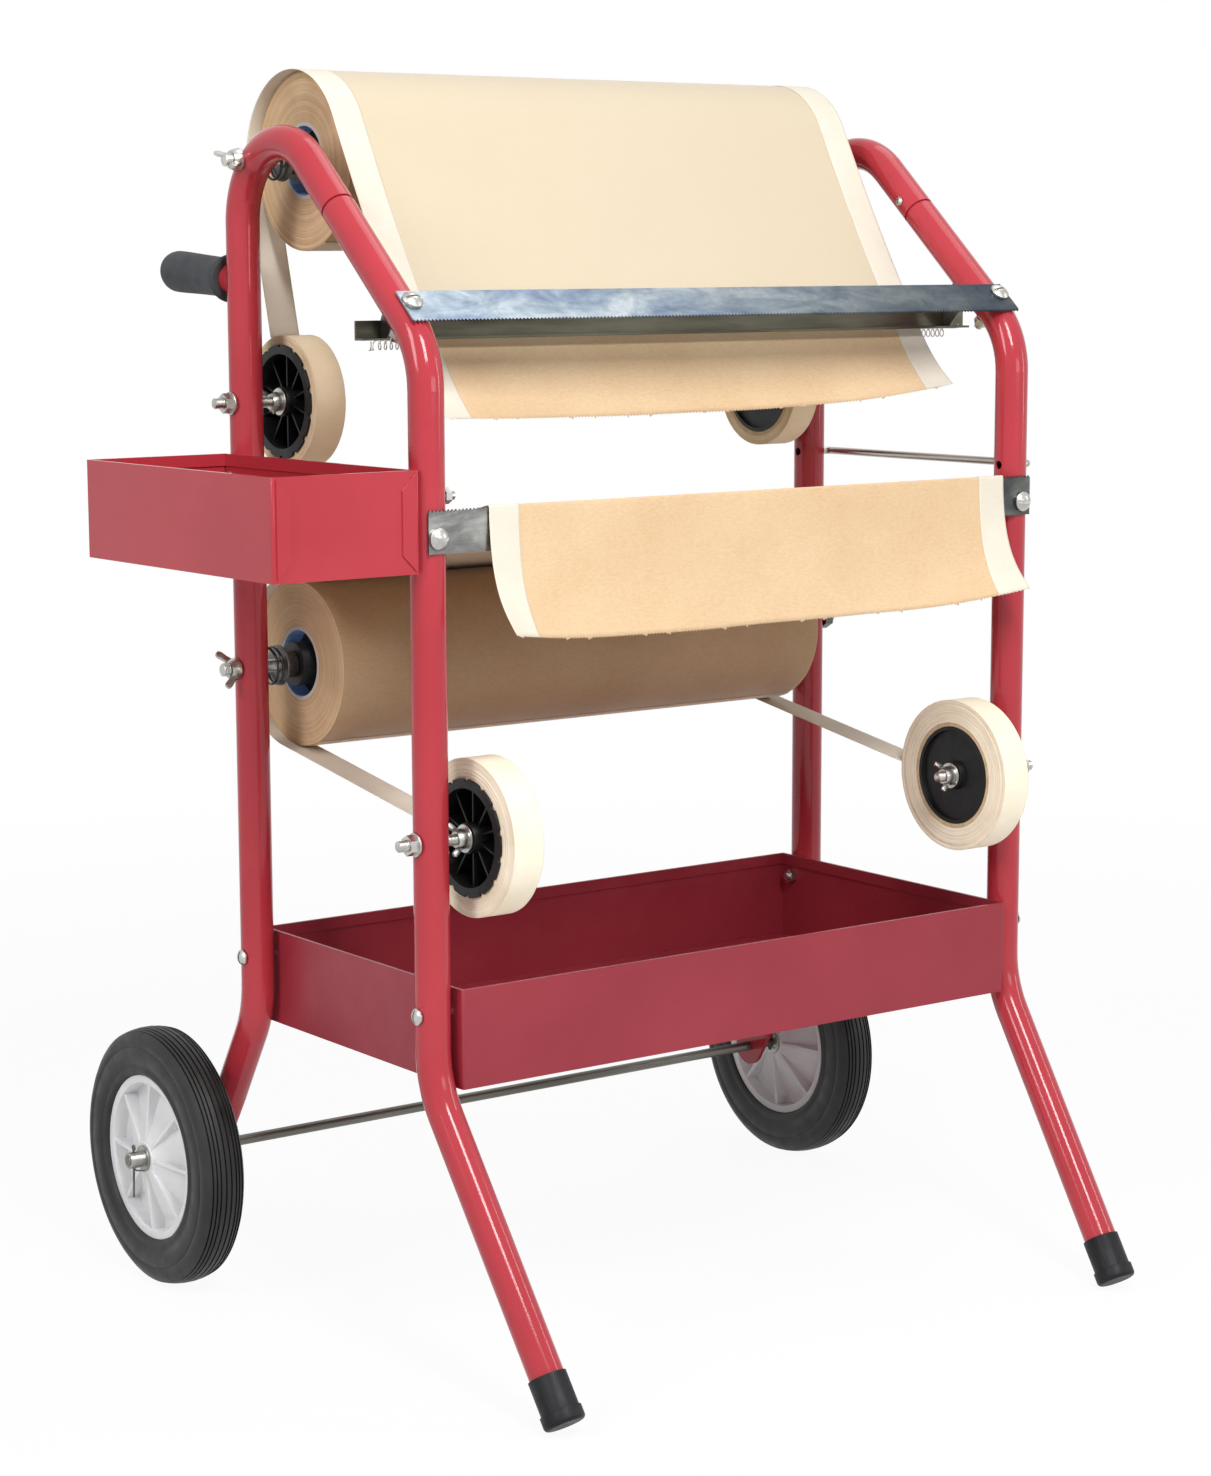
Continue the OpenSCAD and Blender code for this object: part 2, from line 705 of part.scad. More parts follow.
// Flat washers inside the wheels and flanged collars outside them
module axle_washers() {
  color(steel) centred() both_sides() {
    along_x([axle_y, wheel_r], -wheel_x + hub_w / 2 + hub_end_gap)
      flat_washer(axle_washer_d, axle_d + fit, washer_t);
    difference() {
      along_x([axle_y, wheel_r], -collar_x - washer_t - end_collar_len) {
        flat_washer(end_collar_d, axle_d + fit, end_collar_len + washer_t);
        translate([0, 0, end_collar_len]) flat_washer(axle_washer_d, axle_d + fit, washer_t);
      }
      translate([-pin_x_out, axle_y, wheel_r]) cylinder(d = pin_d + fit, h = 2 * end_collar_d, center = true);
    }
  }
}

module wheel_hub() {
  color(white) along_x([axle_y, wheel_r], -wheel_x) difference() {
    union() {
      cylinder(d = boss_d, h = hub_w, center = true);
      cylinder(d = rim_d - 4, h = 4, center = true);
      for (m = [0, 1]) mirror([0, 0, m])
        cylinder(d1 = rim_d - 16, d2 = boss_d, h = hub_w / 2 - 1);
      difference() {
        cylinder(d = rim_d, h = tyre_w - 8, center = true);
        cylinder(d = rim_d - 12, h = tyre_w, center = true);
      }
      for (i = [0 : 7]) rotate([0, 0, 45 * i]) for (m = [0, 1]) mirror([0, 0, m]) wheel_vane();
    }
    cylinder(d = hub_bore_d, h = hub_w + 2, center = true);
  }
}

// One of the tapered ribs between boss and rim
module wheel_vane() {
  translate([0, 1.5, 0]) rotate([90, 0, 0]) linear_extrude(3)
    polygon([[boss_d / 2 - 2, 0], [rim_d / 2 - 4, 0], [rim_d / 2 - 4, tyre_w / 2 - 6],
             [boss_d / 2 - 2, hub_w / 2 - 0.5]]);
}

module tyre() {
  color(black) along_x([axle_y, wheel_r], -wheel_x) rotate_extrude($fn = 96) tyre_section();
}

// Section of the tyre: sloped beads, round shoulders and a tread with six grooves
module tyre_section() {
  h = tyre_w / 2;
  seat_r = rim_d / 2 + seat;
  round_r = 8;
  tread_r = wheel_r - 0.8;
  difference() {
    union() {
      polygon([[seat_r, -h + 5], [seat_r + 8, -h], [tread_r - round_r, -h], [tread_r - round_r, h],
               [seat_r + 8, h], [seat_r, h - 5]]);
      translate([seat_r + 8, -h + round_r]) square([tread_r - seat_r - 8, 2 * (h - round_r)]);
      for (z = [-1, 1]) translate([tread_r - round_r, z * (h - round_r)]) circle(round_r);
      translate([tread_r - 4, -0.2 * h]) square([4.8, 0.4 * h]);
    }
    for (z = [0.12, 0.36, 0.53]) for (m = [-1, 1])
      translate([tread_r - 1.6, m * z * h - tyre_groove / 2]) square([4, tyre_groove]);
  }
}

module left_tyre() centred() tyre();
module right_tyre() centred() right_side() tyre();
module left_wheel_hub() centred() wheel_hub();
module right_wheel_hub() centred() right_side() wheel_hub();

// Trays

module rounded(w, d, r) {
  translate([-w / 2 + r, -d / 2]) square([w - 2 * r, d]);
  translate([-w / 2, -d / 2 + r]) square([w, d - 2 * r]);
  for (x = [-1, 1]) for (y = [-1, 1])
    translate([x * (w / 2 - r), y * (d / 2 - r)]) circle(r);
}

// Folded sheet tray with a hem turned in along its top edge
module sheet_tray(w, d, h) {
  difference() {
    linear_extrude(h) rounded(w, d, 1.5 * tray_t);
    translate([-w / 2 + 2 * tray_t, -d / 2 + 2 * tray_t, tray_t]) cube([w - 4 * tray_t, d - 4 * tray_t, h]);
    translate([-w / 2 + tray_t, -d / 2 + tray_t, tray_t])
      cube([w - 2 * tray_t, d - 2 * tray_t, h - tray_t - hem_h]);
  }
}

module bottom_tray() {
  d = upright_pitch + tray_front + tray_rear;
  color(red) centred() difference() {
    translate([0, (upright_pitch + tray_rear - tray_front) / 2, tray_z])
      sheet_tray(2 * tray_half, d, tray_h);
    for (y = [0, upright_pitch]) along_x([y, tray_screw_z])
      cylinder(d = screw_d + fit, h = frame_w, center = true);
  }
}

module tool_tray() {
  d = upright_pitch + 2 * tool_past;
  x = -outer_x - seat - tool_w / 2;
  color(red) centred() difference() {
    union() {
      translate([x, upright_pitch / 2, tool_z]) sheet_tray(tool_w, d - 2 * tray_t, tool_h);
      for (m = [0, 1]) translate([0, m * upright_pitch, 0]) mirror([0, m, 0])
        for (k = [0, 1]) translate([x, -tool_past, tool_z]) mirror([k, 0, 0]) corner_flap();
    }
    for (y = [0, upright_pitch]) along_x([y, tool_screw_z], -outer_x - 5)
      cylinder(d = screw_d + fit, h = 14, center = true);
  }
}

// Corner flap folded flat on an end wall of the tool tray
module corner_flap() {
  translate([-tool_w / 2, tray_t + 0.1, 0]) rotate([90, 0, 0]) linear_extrude(tray_t + 0.1)
    polygon([[3, 2], [14, 13], [14, tool_h - 13], [3, tool_h - 2]]);
}

// Blades

// Outline of a blade with teeth along its +Y edge
module blade_outline() {
  n = floor(2 * blade_half / tooth_pitch);
  teeth = [for (i = [0 : 2 * n])
    [-blade_half + i * blade_half / n, i % 2 == 0 ? blade_w - tooth_depth : blade_w]];
  polygon(concat([[blade_half, 0], [-blade_half, 0]], teeth));
}

// Blade lying flat, with a stiffening flange turned down along its plain edge
module blade() {
  flange_half = inner_x - 6;
  difference() {
    union() {
      linear_extrude(blade_t) blade_outline();
      translate([-flange_half, 0, blade_t - blade_flange]) cube([2 * flange_half, blade_t, blade_flange]);
    }
    for (x = [-half_w, half_w]) translate([x, blade_screw_v, -5]) cylinder(d = screw_d + fit, h = 10);
  }
}

module lower_blade() {
  color(steel) centred() translate([0, -tube_r - seat, lower_blade_z]) rotate([90, 0, 0]) blade();
}

// Frame of the left sloping tube: +Y runs up the slope and +Z stands off it
module on_slope() {
  translate([0, 0, front_corner_z]) rotate([top_slope, 0, 0]) children();
}

module upper_blade() {
  color(steel) centred() on_slope()
    translate([0, upper_blade_s + blade_w, tube_r + seat]) mirror([0, 1, 0]) blade();
}

// Fasteners

module pan_screws() {
  color(steel) centred() {
    both_sides() {
      on_slope() translate([-half_w, upper_blade_screw_s, tube_r + blade_t + 2 * seat])
        screw(screw_len, screw_d, dome_d, dome_h);
      translate([-half_w, -tube_r - blade_t - 2 * seat, lower_blade_screw_z]) rotate([90, 0, 0])
        screw(screw_len, screw_d, dome_d, dome_h);
      for (y = [0, upright_pitch]) translate([-outer_x - seat, y, tray_screw_z]) rotate([0, -90, 0])
        screw(screw_len);
    }
    for (y = [0, upright_pitch]) translate([-outer_x - tray_t - 2 * seat, y, tool_screw_z])
      rotate([0, -90, 0]) screw(screw_len);
  }
}

module hex_nuts() {
  color(steel) centred() {
    both_sides() {
      on_slope() translate([-half_w, upper_blade_screw_s, -tube_r - seat - nut_h]) frame_nut();
      translate([-half_w, tube_r + seat + nut_h, lower_blade_screw_z]) rotate([90, 0, 0]) frame_nut();
      for (y = [0, upright_pitch]) along_x([y, tray_screw_z], -tray_half + tray_t + seat) frame_nut();
    }
    for (y = [0, upright_pitch]) along_x([y, tool_screw_z], -inner_x + seat) frame_nut();
  }
}

module frame_nut() {
  nut(screw_d, nut_h, screw_d * 1.67);
}

// Tension bar: angle strip, its brackets and the long spring that presses the paper to it

module tension_bar() {
  color(dark) centred() {
    translate([-bar_half, bar_y - bar_t, bar_z]) cube([2 * bar_half, bar_t, bar_h]);
    translate([-bar_half, bar_y - bar_flange, bar_z]) cube([2 * bar_half, bar_flange, bar_t]);
  }
}

// Plates welded under the sloping tubes, cut to the tube, with the bar against their rear edges
module bar_brackets() {
  color(dark) centred() both_sides() difference() {
    side_extrude(bracket_x, bracket_x + bar_t) polygon([
      [bracket_back - 8, bracket_foot], [bracket_back, bracket_foot],
      [bracket_back, bar_z + bar_h], [bracket_back - 12, bar_z + bar_h + 24],
      [bracket_back - 30, bar_z + bar_h + 24], [bracket_back - 24, bar_z + bar_h + 6]]);
    on_slope() translate([-half_w, 0, 0]) rotate([-90, 0, 0]) cylinder(r = tube_r + seat, h = joint_s);
  }
}

function spring_coil(i, n) = let (a = 270 + 45 * i)
  [-spring_half + 2 * spring_half * i / n, spring_y + spring_r * cos(a), spring_z + spring_r * sin(a)];
function hook_bend(x, z, a) =
  [x, hook_y + spring_bend - spring_bend * cos(a), z + spring_bend - spring_bend * sin(a)];
spring_low = spring_z - spring_r;
spring_top = spring_z + spring_r;
spring_path = concat(
  [for (z = [bar_z - 0.05, bar_z - 1, spring_low + spring_bend + 3]) [-hook_x, hook_y, z]],
  [for (a = [0, 45, 90]) hook_bend(-hook_x, spring_low, a)],
  [[-hook_x + 2, (hook_y + spring_y) / 2 + 1, spring_low]],
  [for (i = [0 : 8 * spring_turns - 4]) spring_coil(i, 8 * spring_turns - 4)],
  [[hook_x - 2, (hook_y + spring_y) / 2 + 1, spring_top]],
  [for (a = [90, 45, 0]) hook_bend(hook_x, spring_top, a)],
  [[hook_x, hook_y, bar_z - 0.05]]);

module tension_spring() {
  color(steel) centred() wire(spring_path, spring_wire, [1, 0, 0]);
}

// Wire rail on the outside of the right frame

module side_rail() {
  rail_x = outer_x + rail_out;
  rail_start = outer_x - tube_wall - 3;
  r = rail_d;
  color(dark) centred() translate([0, 0, tool_screw_z]) {
    for (y = [0, upright_pitch]) along_x([y, 0], rail_start)
      cylinder(d = rail_d, h = rail_x - r - rail_start);
    translate([rail_x - r, r, 0]) rotate([0, 0, -90]) rail_bend(r);
    translate([rail_x - r, upright_pitch - r, 0]) rail_bend(r);
    translate([rail_x, upright_pitch - r, 0]) rotate([90, 0, 0])
      cylinder(d = rail_d, h = upright_pitch - 2 * r);
  }
}

module rail_bend(r) {
  rotate_extrude(angle = 90) translate([r, 0]) circle(d = rail_d);
}

// Roll rods with their nuts, spacers and drag springs

module upper_roll_rod() {
  color(steel) centred() along_x(upper_rod, -rod_half) cylinder(d = rod_d, h = 2 * rod_half);
}

module lower_roll_rod() {
  color(steel) centred() along_x(lower_rod, -rod_half) cylinder(d = rod_d, h = 2 * rod_half);
}

module rod_wing_nuts() {
  color(steel) centred() for (p = [upper_rod, lower_rod])
    translate([-outer_x - seat, p[0], p[1]]) rotate([0, -90, 0]) rotate([0, 0, 60]) wing_nut(rod_d);
}

module rod_hex_nuts() {
  color(dark) centred() for (p = [upper_rod, lower_rod])
    along_x(p, outer_x + seat) nut(rod_d, 0.8 * rod_d, 1.7 * rod_d);
}

// Left spacers carry a collar that the drag spring bears on
module roll_spacers() {
  left = -inner_x + 2 * seat + drag_len;
  color(steel) centred() for (p = [upper_rod, lower_rod]) {
    along_x(p, left) {
      flat_washer(2 * rod_d, rod_d + fit, -plug_end_x - spacer_gap - left);
      flat_washer(2 * drag_r + drag_wire + 1, rod_d + fit, 1.5);
    }
    along_x(p, plug_end_x + spacer_gap)
      flat_washer(2 * rod_d, rod_d + fit, inner_x - seat - plug_end_x - spacer_gap);
  }
}

drag_wire = 2.2;
drag_r = 13.8;
drag_turns = 2.5;
drag_steps = 8 * drag_turns;
function drag_coil(i) = [drag_wire / 2 + (drag_len - drag_wire) * i / drag_steps,
  drag_r * cos(45 * i), drag_r * sin(45 * i)];
drag_path = concat(
  [[drag_wire / 2, drag_r, -drag_wire]],
  [for (i = [0 : drag_steps]) drag_coil(i)],
  [drag_coil(drag_steps) + [0, 0, -drag_wire]]);

// Each drag spring starts where its end curl lies against the tube
module drag_springs() {
  color(dark) centred() {
    translate([-inner_x + seat, upper_rod[0], upper_rod[1]]) rotate([90 + upper_rod_angle, 0, 0])
      wire(drag_path, drag_wire, [1, 0, 0]);
    translate([-inner_x + seat, lower_rod[0], lower_rod[1]]) rotate([90, 0, 0])
      wire(drag_path, drag_wire, [1, 0, 0]);
  }
}

echo(tension_spring_gap = least_gap(spring_path, spring_wire));
echo(drag_spring_gap = least_gap(drag_path, drag_wire));

// Paper rolls

module paper_roll(p, d) {
  color(kraft) along_x(p) difference() {
    cylinder(d = d, h = paper_w, center = true, $fn = 96);
    cylinder(d = core_d + 2 * seat, h = paper_w + 2, center = true);
  }
}

module roll_core(p) {
  color(blue) along_x(p) difference() {
    cylinder(d = core_d, h = paper_w, center = true);
    cylinder(d = core_d - 2 * core_wall, h = paper_w + 2, center = true);
  }
}

// End plugs: a disc inside the core and a nose that turns on the rod
module roll_plugs(p) {
  color(black) both_sides() along_x(p, -plug_end_x) difference() {
    union() {
      cylinder(d = plug_nose_d, h = plug_out + 24);
      translate([0, 0, plug_out + 14]) cylinder(d = core_d - 2 * core_wall - 2 * seat, h = 10);
    }
    translate([0, 0, -1]) cylinder(d = rod_bore_d, h = plug_out + 26);
  }
}

module upper_paper_roll() centred() paper_roll(upper_rod, upper_roll_d);
module lower_paper_roll() centred() paper_roll(lower_rod, lower_roll_d);
module upper_roll_core() centred() roll_core(upper_rod);
module lower_roll_core() centred() roll_core(lower_rod);
module upper_roll_plugs() centred() roll_plugs(upper_rod);
module lower_roll_plugs() centred() roll_plugs(lower_rod);

// Tape rolls

upper_stud = [upright_pitch, upper_stud_z];
lower_stud = [0, lower_stud_z];

module tape(p, d) {
  color(cream) along_x(p, -tape_x_out) difference() {
    cylinder(d = d, h = tape_w, $fn = 96);
    translate([0, 0, -1]) cylinder(d = tape_core_id + 2 * tape_core_wall + 2 * seat, h = tape_w + 2);
  }
}

module tape_core(p) {
  color(kraft) along_x(p, -tape_x_out) difference() {
    cylinder(d = tape_core_id + 2 * tape_core_wall, h = tape_w);
    translate([0, 0, -1]) cylinder(d = tape_core_id, h = tape_w + 2);
  }
}

// Moulded hub: closed face inboard, ribs and a scalloped rim outboard
module tape_hub(p) {
  w = hub_x_out - hub_x_in;
  color(black) translate([-hub_x_in, p[0], p[1]]) rotate([0, -90, 0]) difference() {
    union() {
      cylinder(d = stud_d + 14, h = w);
      translate([0, 0, 4]) cylinder(r = hub_r - 1, h = 3);
      translate([0, 0, 1]) ring(hub_r, hub_r - 3, w - 2);
      translate([0, 0, w - 2 + seat]) linear_extrude(2 - seat) difference() {
        circle(hub_r + 4);
        circle(hub_r - 3);
        for (i = [1 : scallops]) rotate([0, 0, 360 * i / scallops]) translate([hub_r + 4.5, 0])
          circle(2.5, $fn = 24);
      }
      for (i = [1 : hub_ribs]) rotate([0, 0, 360 * i / hub_ribs])
        translate([stud_d / 2 + 5, -hub_rib_t / 2, 5]) cube([hub_r - stud_d / 2 - 6, hub_rib_t, w - 11]);
    }
    translate([0, 0, -1]) cylinder(d = stud_bore_d, h = w + 2);
  }
}

module ring(r1, r0, h) {
  difference() {
    cylinder(r = r1, h = h);
    translate([0, 0, -1]) cylinder(r = r0, h = h + 2);
  }
}

module upper_left_tape() centred() tape(upper_stud, upper_tape_d);
module upper_right_tape() centred() right_side() tape(upper_stud, upper_tape_d);
module lower_left_tape() centred() tape(lower_stud, lower_left_tape_d);
module lower_right_tape() centred() right_side() tape(lower_stud, lower_right_tape_d);
module upper_left_tape_core() centred() tape_core(upper_stud);
module upper_right_tape_core() centred() right_side() tape_core(upper_stud);
module lower_left_tape_core() centred() tape_core(lower_stud);
module lower_right_tape_core() centred() right_side() tape_core(lower_stud);
module upper_left_tape_hub() centred() tape_hub(upper_stud);
module upper_right_tape_hub() centred() right_side() tape_hub(upper_stud);
module lower_left_tape_hub() centred() tape_hub(lower_stud);
module lower_right_tape_hub() centred() right_side() tape_hub(lower_stud);

// Studs, nuts and washers of the tape rolls

stud_end = 15;
stud_x_out = outer_x + stud_end;
stud_x_in = hub_x_in - 0.3 - washer_t - wing_h - 5;

module tape_studs() {
  color(steel) centred() both_sides() for (p = [upper_stud, lower_stud])
    along_x(p, -stud_x_out) cylinder(d = stud_d, h = stud_x_out - stud_x_in);
}

module stud_flange_nuts() {
  color(steel) centred() both_sides() for (p = [upper_stud, lower_stud])
    translate([-outer_x - seat, p[0], p[1]]) rotate([0, -90, 0]) {
      flat_washer(17, stud_d + fit, 1.6);
      translate([0, 0, 1.5]) nut(stud_d, 6, 13);
    }
}

module tape_washers() {
  color(steel) centred() both_sides() for (p = [upper_stud, lower_stud]) {
    along_x(p, -hub_x_in + 0.3) flat_washer(tape_washer_d, stud_d + fit, washer_t);
    along_x(p, -hub_x_out - 0.3 - washer_t) flat_washer(tape_washer_d, stud_d + fit, washer_t);
  }
}

module tape_wing_nuts() {
  color(steel) centred() both_sides() for (p = [upper_stud, lower_stud]) {
    along_x(p, -hub_x_in + 0.3 + washer_t + seat) rotate([0, 0, 35]) wing_nut(stud_d);
    translate([-hub_x_out - 0.3 - washer_t - seat, p[0], p[1]]) rotate([0, -90, 0])
      rotate([0, 0, 70]) wing_nut(stud_d);
  }
}

// Loose paper and tape

module upper_paper_web() {
  color(kraft) centred() side_extrude(-paper_w / 2, paper_w / 2) polygon(band(upper_free, web_t));
}

module lower_paper_web() {
  color(kraft) centred() side_extrude(-paper_w / 2, paper_w / 2) polygon(band(lower_free, web_t));
}

// Tape from its roll, round the paper roll and out along the loose paper
function strip_path(rod, r, lead, free, stud, tape_r, peel) =
  let (start = stud + (tape_r + roll_air + strip_t / 2) * [cos(peel), sin(peel)],
       out = shifted(free, -strip_rise),
       a = under_angle(start, rod, r + strip_off))
  concat([start], arc(rod, r + strip_off, a - 90, 90 + lead, 28), [for (i = [1 : len(out) - 1]) out[i]]);

module strip(path) {
  color(cream) side_extrude(-tape_x_out, -tape_x_in) polygon(band(path, strip_t));
}

upper_peel = 72;
lower_peel = 4;
upper_strip = strip_path(upper_rod, upper_r, upper_lead, upper_free, upper_stud,
  upper_tape_d / 2, upper_peel);
lower_left_strip = strip_path(lower_rod, lower_r, lower_lead, lower_free, lower_stud,
  lower_left_tape_d / 2, lower_peel);
lower_right_strip = strip_path(lower_rod, lower_r, lower_lead, lower_free, lower_stud,
  lower_right_tape_d / 2, lower_peel);

module upper_left_tape_strip() centred() strip(upper_strip);
module upper_right_tape_strip() centred() right_side() strip(upper_strip);
module lower_left_tape_strip() centred() strip(lower_left_strip);
module lower_right_tape_strip() centred() right_side() strip(lower_right_strip);

left_front_tube();
right_front_tube();
left_rear_tube();
right_rear_tube();
self_tapping_screws();
foot_caps();
handle_stubs();
handle_grips();
axle();
axle_split_pins();
axle_washers();
bottom_tray();
tool_tray();
pan_screws();
hex_nuts();
upper_blade();
lower_blade();
tension_bar();
bar_brackets();
tension_spring();
side_rail();
upper_roll_rod();
lower_roll_rod();
rod_wing_nuts();
rod_hex_nuts();
roll_spacers();
drag_springs();
tape_studs();
stud_flange_nuts();
tape_washers();
tape_wing_nuts();
upper_paper_web();
lower_paper_web();
upper_left_tape_strip();
upper_right_tape_strip();
lower_left_tape_strip();
lower_right_tape_strip();
left_tyre();
left_wheel_hub();
right_tyre();
right_wheel_hub();
upper_paper_roll();
upper_roll_core();
upper_roll_plugs();
lower_paper_roll();
lower_roll_core();
lower_roll_plugs();
upper_left_tape();
upper_left_tape_core();
upper_left_tape_hub();
upper_right_tape();
upper_right_tape_core();
upper_right_tape_hub();
lower_left_tape();
lower_left_tape_core();
lower_left_tape_hub();
lower_right_tape();
lower_right_tape_core();
lower_right_tape_hub();
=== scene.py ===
"""Looks of the masking paper dispenser trolley: paper, tape, springs, threads and finishes.

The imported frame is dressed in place, and places and radii are read from its nodes.
Metres, Z up, -Y to the front.
"""
import math
import random

import bpy
import numpy as np
from mathutils import Matrix, Vector


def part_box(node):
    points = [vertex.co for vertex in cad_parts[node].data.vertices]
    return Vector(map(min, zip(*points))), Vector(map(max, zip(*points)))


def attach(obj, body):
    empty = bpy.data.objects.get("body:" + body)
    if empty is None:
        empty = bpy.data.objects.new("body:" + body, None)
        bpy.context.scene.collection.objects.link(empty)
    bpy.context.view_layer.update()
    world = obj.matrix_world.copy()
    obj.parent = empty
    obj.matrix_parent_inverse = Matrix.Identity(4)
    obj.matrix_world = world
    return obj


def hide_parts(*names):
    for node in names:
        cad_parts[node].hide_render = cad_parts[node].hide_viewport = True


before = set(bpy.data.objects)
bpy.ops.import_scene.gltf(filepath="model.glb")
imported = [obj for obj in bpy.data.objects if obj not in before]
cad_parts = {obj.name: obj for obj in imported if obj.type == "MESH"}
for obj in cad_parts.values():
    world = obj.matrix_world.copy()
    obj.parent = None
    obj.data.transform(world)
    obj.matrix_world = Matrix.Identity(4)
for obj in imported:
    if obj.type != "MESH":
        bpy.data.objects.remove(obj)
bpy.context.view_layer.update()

MM = 0.001
PLACE_DIGITS = 6
ORIGIN = (0, 0, 0)
SIDES = ("left", "right")
TAPE_PLACES = ("upper_left", "upper_right", "lower_left", "lower_right")


# Places read from the frame

def middle(node):
    low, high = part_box(node)
    return (low + high) / 2


def half_size(node):
    low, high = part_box(node)
    return (high - low) / 2


def solids(node):
    """Boxes (low, high) of the separate solids in a CAD node, from left to right.

    Points that round to the same place are one point.
    """
    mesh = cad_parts[node].data
    keys = [tuple(round(c, PLACE_DIGITS) for c in v.co) for v in mesh.vertices]
    parent = {k: k for k in keys}

    def root(k):
        while parent[k] != k:
            parent[k] = parent[parent[k]]
            k = parent[k]
        return k

    for edge in mesh.edges:
        a, b = (root(keys[i]) for i in edge.vertices)
        parent[a] = b
    groups = {}
    for k in parent:
        groups.setdefault(root(k), []).append(k)
    boxes = [(Vector(np.min(g, 0)), Vector(np.max(g, 0))) for g in groups.values()]
    return sorted(boxes, key=lambda box: tuple(box[0]))


# Mesh building

def piece(name, points, faces, body, slot, materials, replaced=(), sharp=35):
    """A smooth shaded mesh that rides on a body; edges steeper than sharp degrees stay crisp."""
    mesh = bpy.data.meshes.new(name)
    mesh.from_pydata([tuple(p) for p in points], [], faces)
    mesh.shade_smooth()
    mesh.set_sharp_from_angle(angle=math.radians(sharp))
    for material in materials if isinstance(materials, (list, tuple)) else [materials]:
        mesh.materials.append(material)
    obj = bpy.data.objects.new(name, mesh)
    bpy.context.scene.collection.objects.link(obj)
    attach(obj, body)
    if replaced:
        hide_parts(*replaced)
    return obj


def grid_faces(rows, columns, wrap_rows=False, wrap_columns=False):
    """Quads between the points of a grid, closed round where wrap says so."""
    faces = []
    for i in range(rows if wrap_rows else rows - 1):
        for j in range(columns if wrap_columns else columns - 1):
            a, b = i * columns, (i + 1) % rows * columns
            k = (j + 1) % columns
            faces.append((a + j, a + k, b + k, b + j))
    return faces


def end_caps(rows, columns):
    """Faces that close the first and the last ring of a grid."""
    last = (rows - 1) * columns
    return [tuple(range(columns))[::-1], tuple(range(last, last + columns))]


def joined(parts):
    """One list of points and faces from several."""
    points, faces = [], []
    for part_points, part_faces in parts:
        start = len(points)
        points.extend(part_points)
        faces.extend(tuple(i + start for i in f) for f in part_faces)
    return points, faces


def lathe(profile, centre, steps, closed=True):
    """Rings about the X axis through centre, from (x, radius) pairs."""
    turn = np.linspace(0, math.tau, steps, endpoint=False)
    points = [(centre[0] + x, centre[1] + r * math.cos(a), centre[2] + r * math.sin(a))
              for x, r in profile for a in turn]
    return points, grid_faces(len(profile), steps, closed, True)


# A direction that no wire starts along
OFF_AXIS = (0.31, 0.52, 0.79)


def tube(path, radius, sides=10):
    """Round wire along a list of points, with flat ends."""
    path = np.array(path, float)
    along = np.gradient(path, axis=0)
    along /= np.linalg.norm(along, axis=1)[:, None]
    normal = np.cross(along[0], OFF_AXIS)
    points = []
    for p, t in zip(path, along):
        normal = normal - t * (normal @ t)
        normal /= np.linalg.norm(normal)
        other = np.cross(t, normal)
        for k in range(sides):
            a = math.tau * k / sides
            points.append(p + radius * (math.cos(a) * normal + math.sin(a) * other))
    faces = grid_faces(len(path), sides, wrap_columns=True)
    return points, faces + end_caps(len(path), sides)


THREAD_STEPS = 20
THREAD_ROWS_A_TURN = 6
# Depth as a share of the pitch, chamfer as a share of the depth, end as a share of the radius
THREAD_DEPTH = 0.5
THREAD_CHAMFER = 0.8
THREAD_END = 0.72


def ring_row(x, radius_at):
    """One ring of a threaded bar, a row of (x, angle, radius)."""
    return [(x, math.tau * k / THREAD_STEPS, radius_at(k / THREAD_STEPS)) for k in range(THREAD_STEPS)]


def thread_rows(start, end, radius, pitch):
    """Rings of a screw thread along X."""
    depth = THREAD_DEPTH * pitch
    count = max(2, round((end - start) / pitch * THREAD_ROWS_A_TURN))
    for i in range(count + 1):
        x = start + (end - start) * i / count
        yield ring_row(x, lambda turn: radius - depth * abs(2 * ((x / pitch + turn) % 1) - 1))


def threaded_bar(centre, start, end, radius, pitch, plain=None):
    """Bar along X with chamfered ends, threaded all along or outside the plain stretch."""
    chamfer = THREAD_CHAMFER * (THREAD_DEPTH * pitch)
    first, last = start + chamfer, end - chamfer
    rows = [ring_row(start, lambda turn: THREAD_END * radius)]
    for a, b in [(first, plain[0]), (plain[1], last)] if plain else [(first, last)]:
        rows.extend(thread_rows(a, b, radius, pitch))
    rows.append(ring_row(end, lambda turn: THREAD_END * radius))
    points = [(x, centre[1] + r * math.cos(a), centre[2] + r * math.sin(a))
              for row in rows for x, a, r in row]
    faces = grid_faces(len(rows), THREAD_STEPS, wrap_columns=True)
    return points, faces + end_caps(len(rows), THREAD_STEPS)


# Materials

def rgb(code):
    """Linear colour from a hex code."""
    parts = [int(code[i:i + 2], 16) / 255 for i in (1, 3, 5)]
    linear = [c / 12.92 if c <= 0.04045 else ((c + 0.055) / 1.055) ** 2.4 for c in parts]
    return (*linear, 1.0)


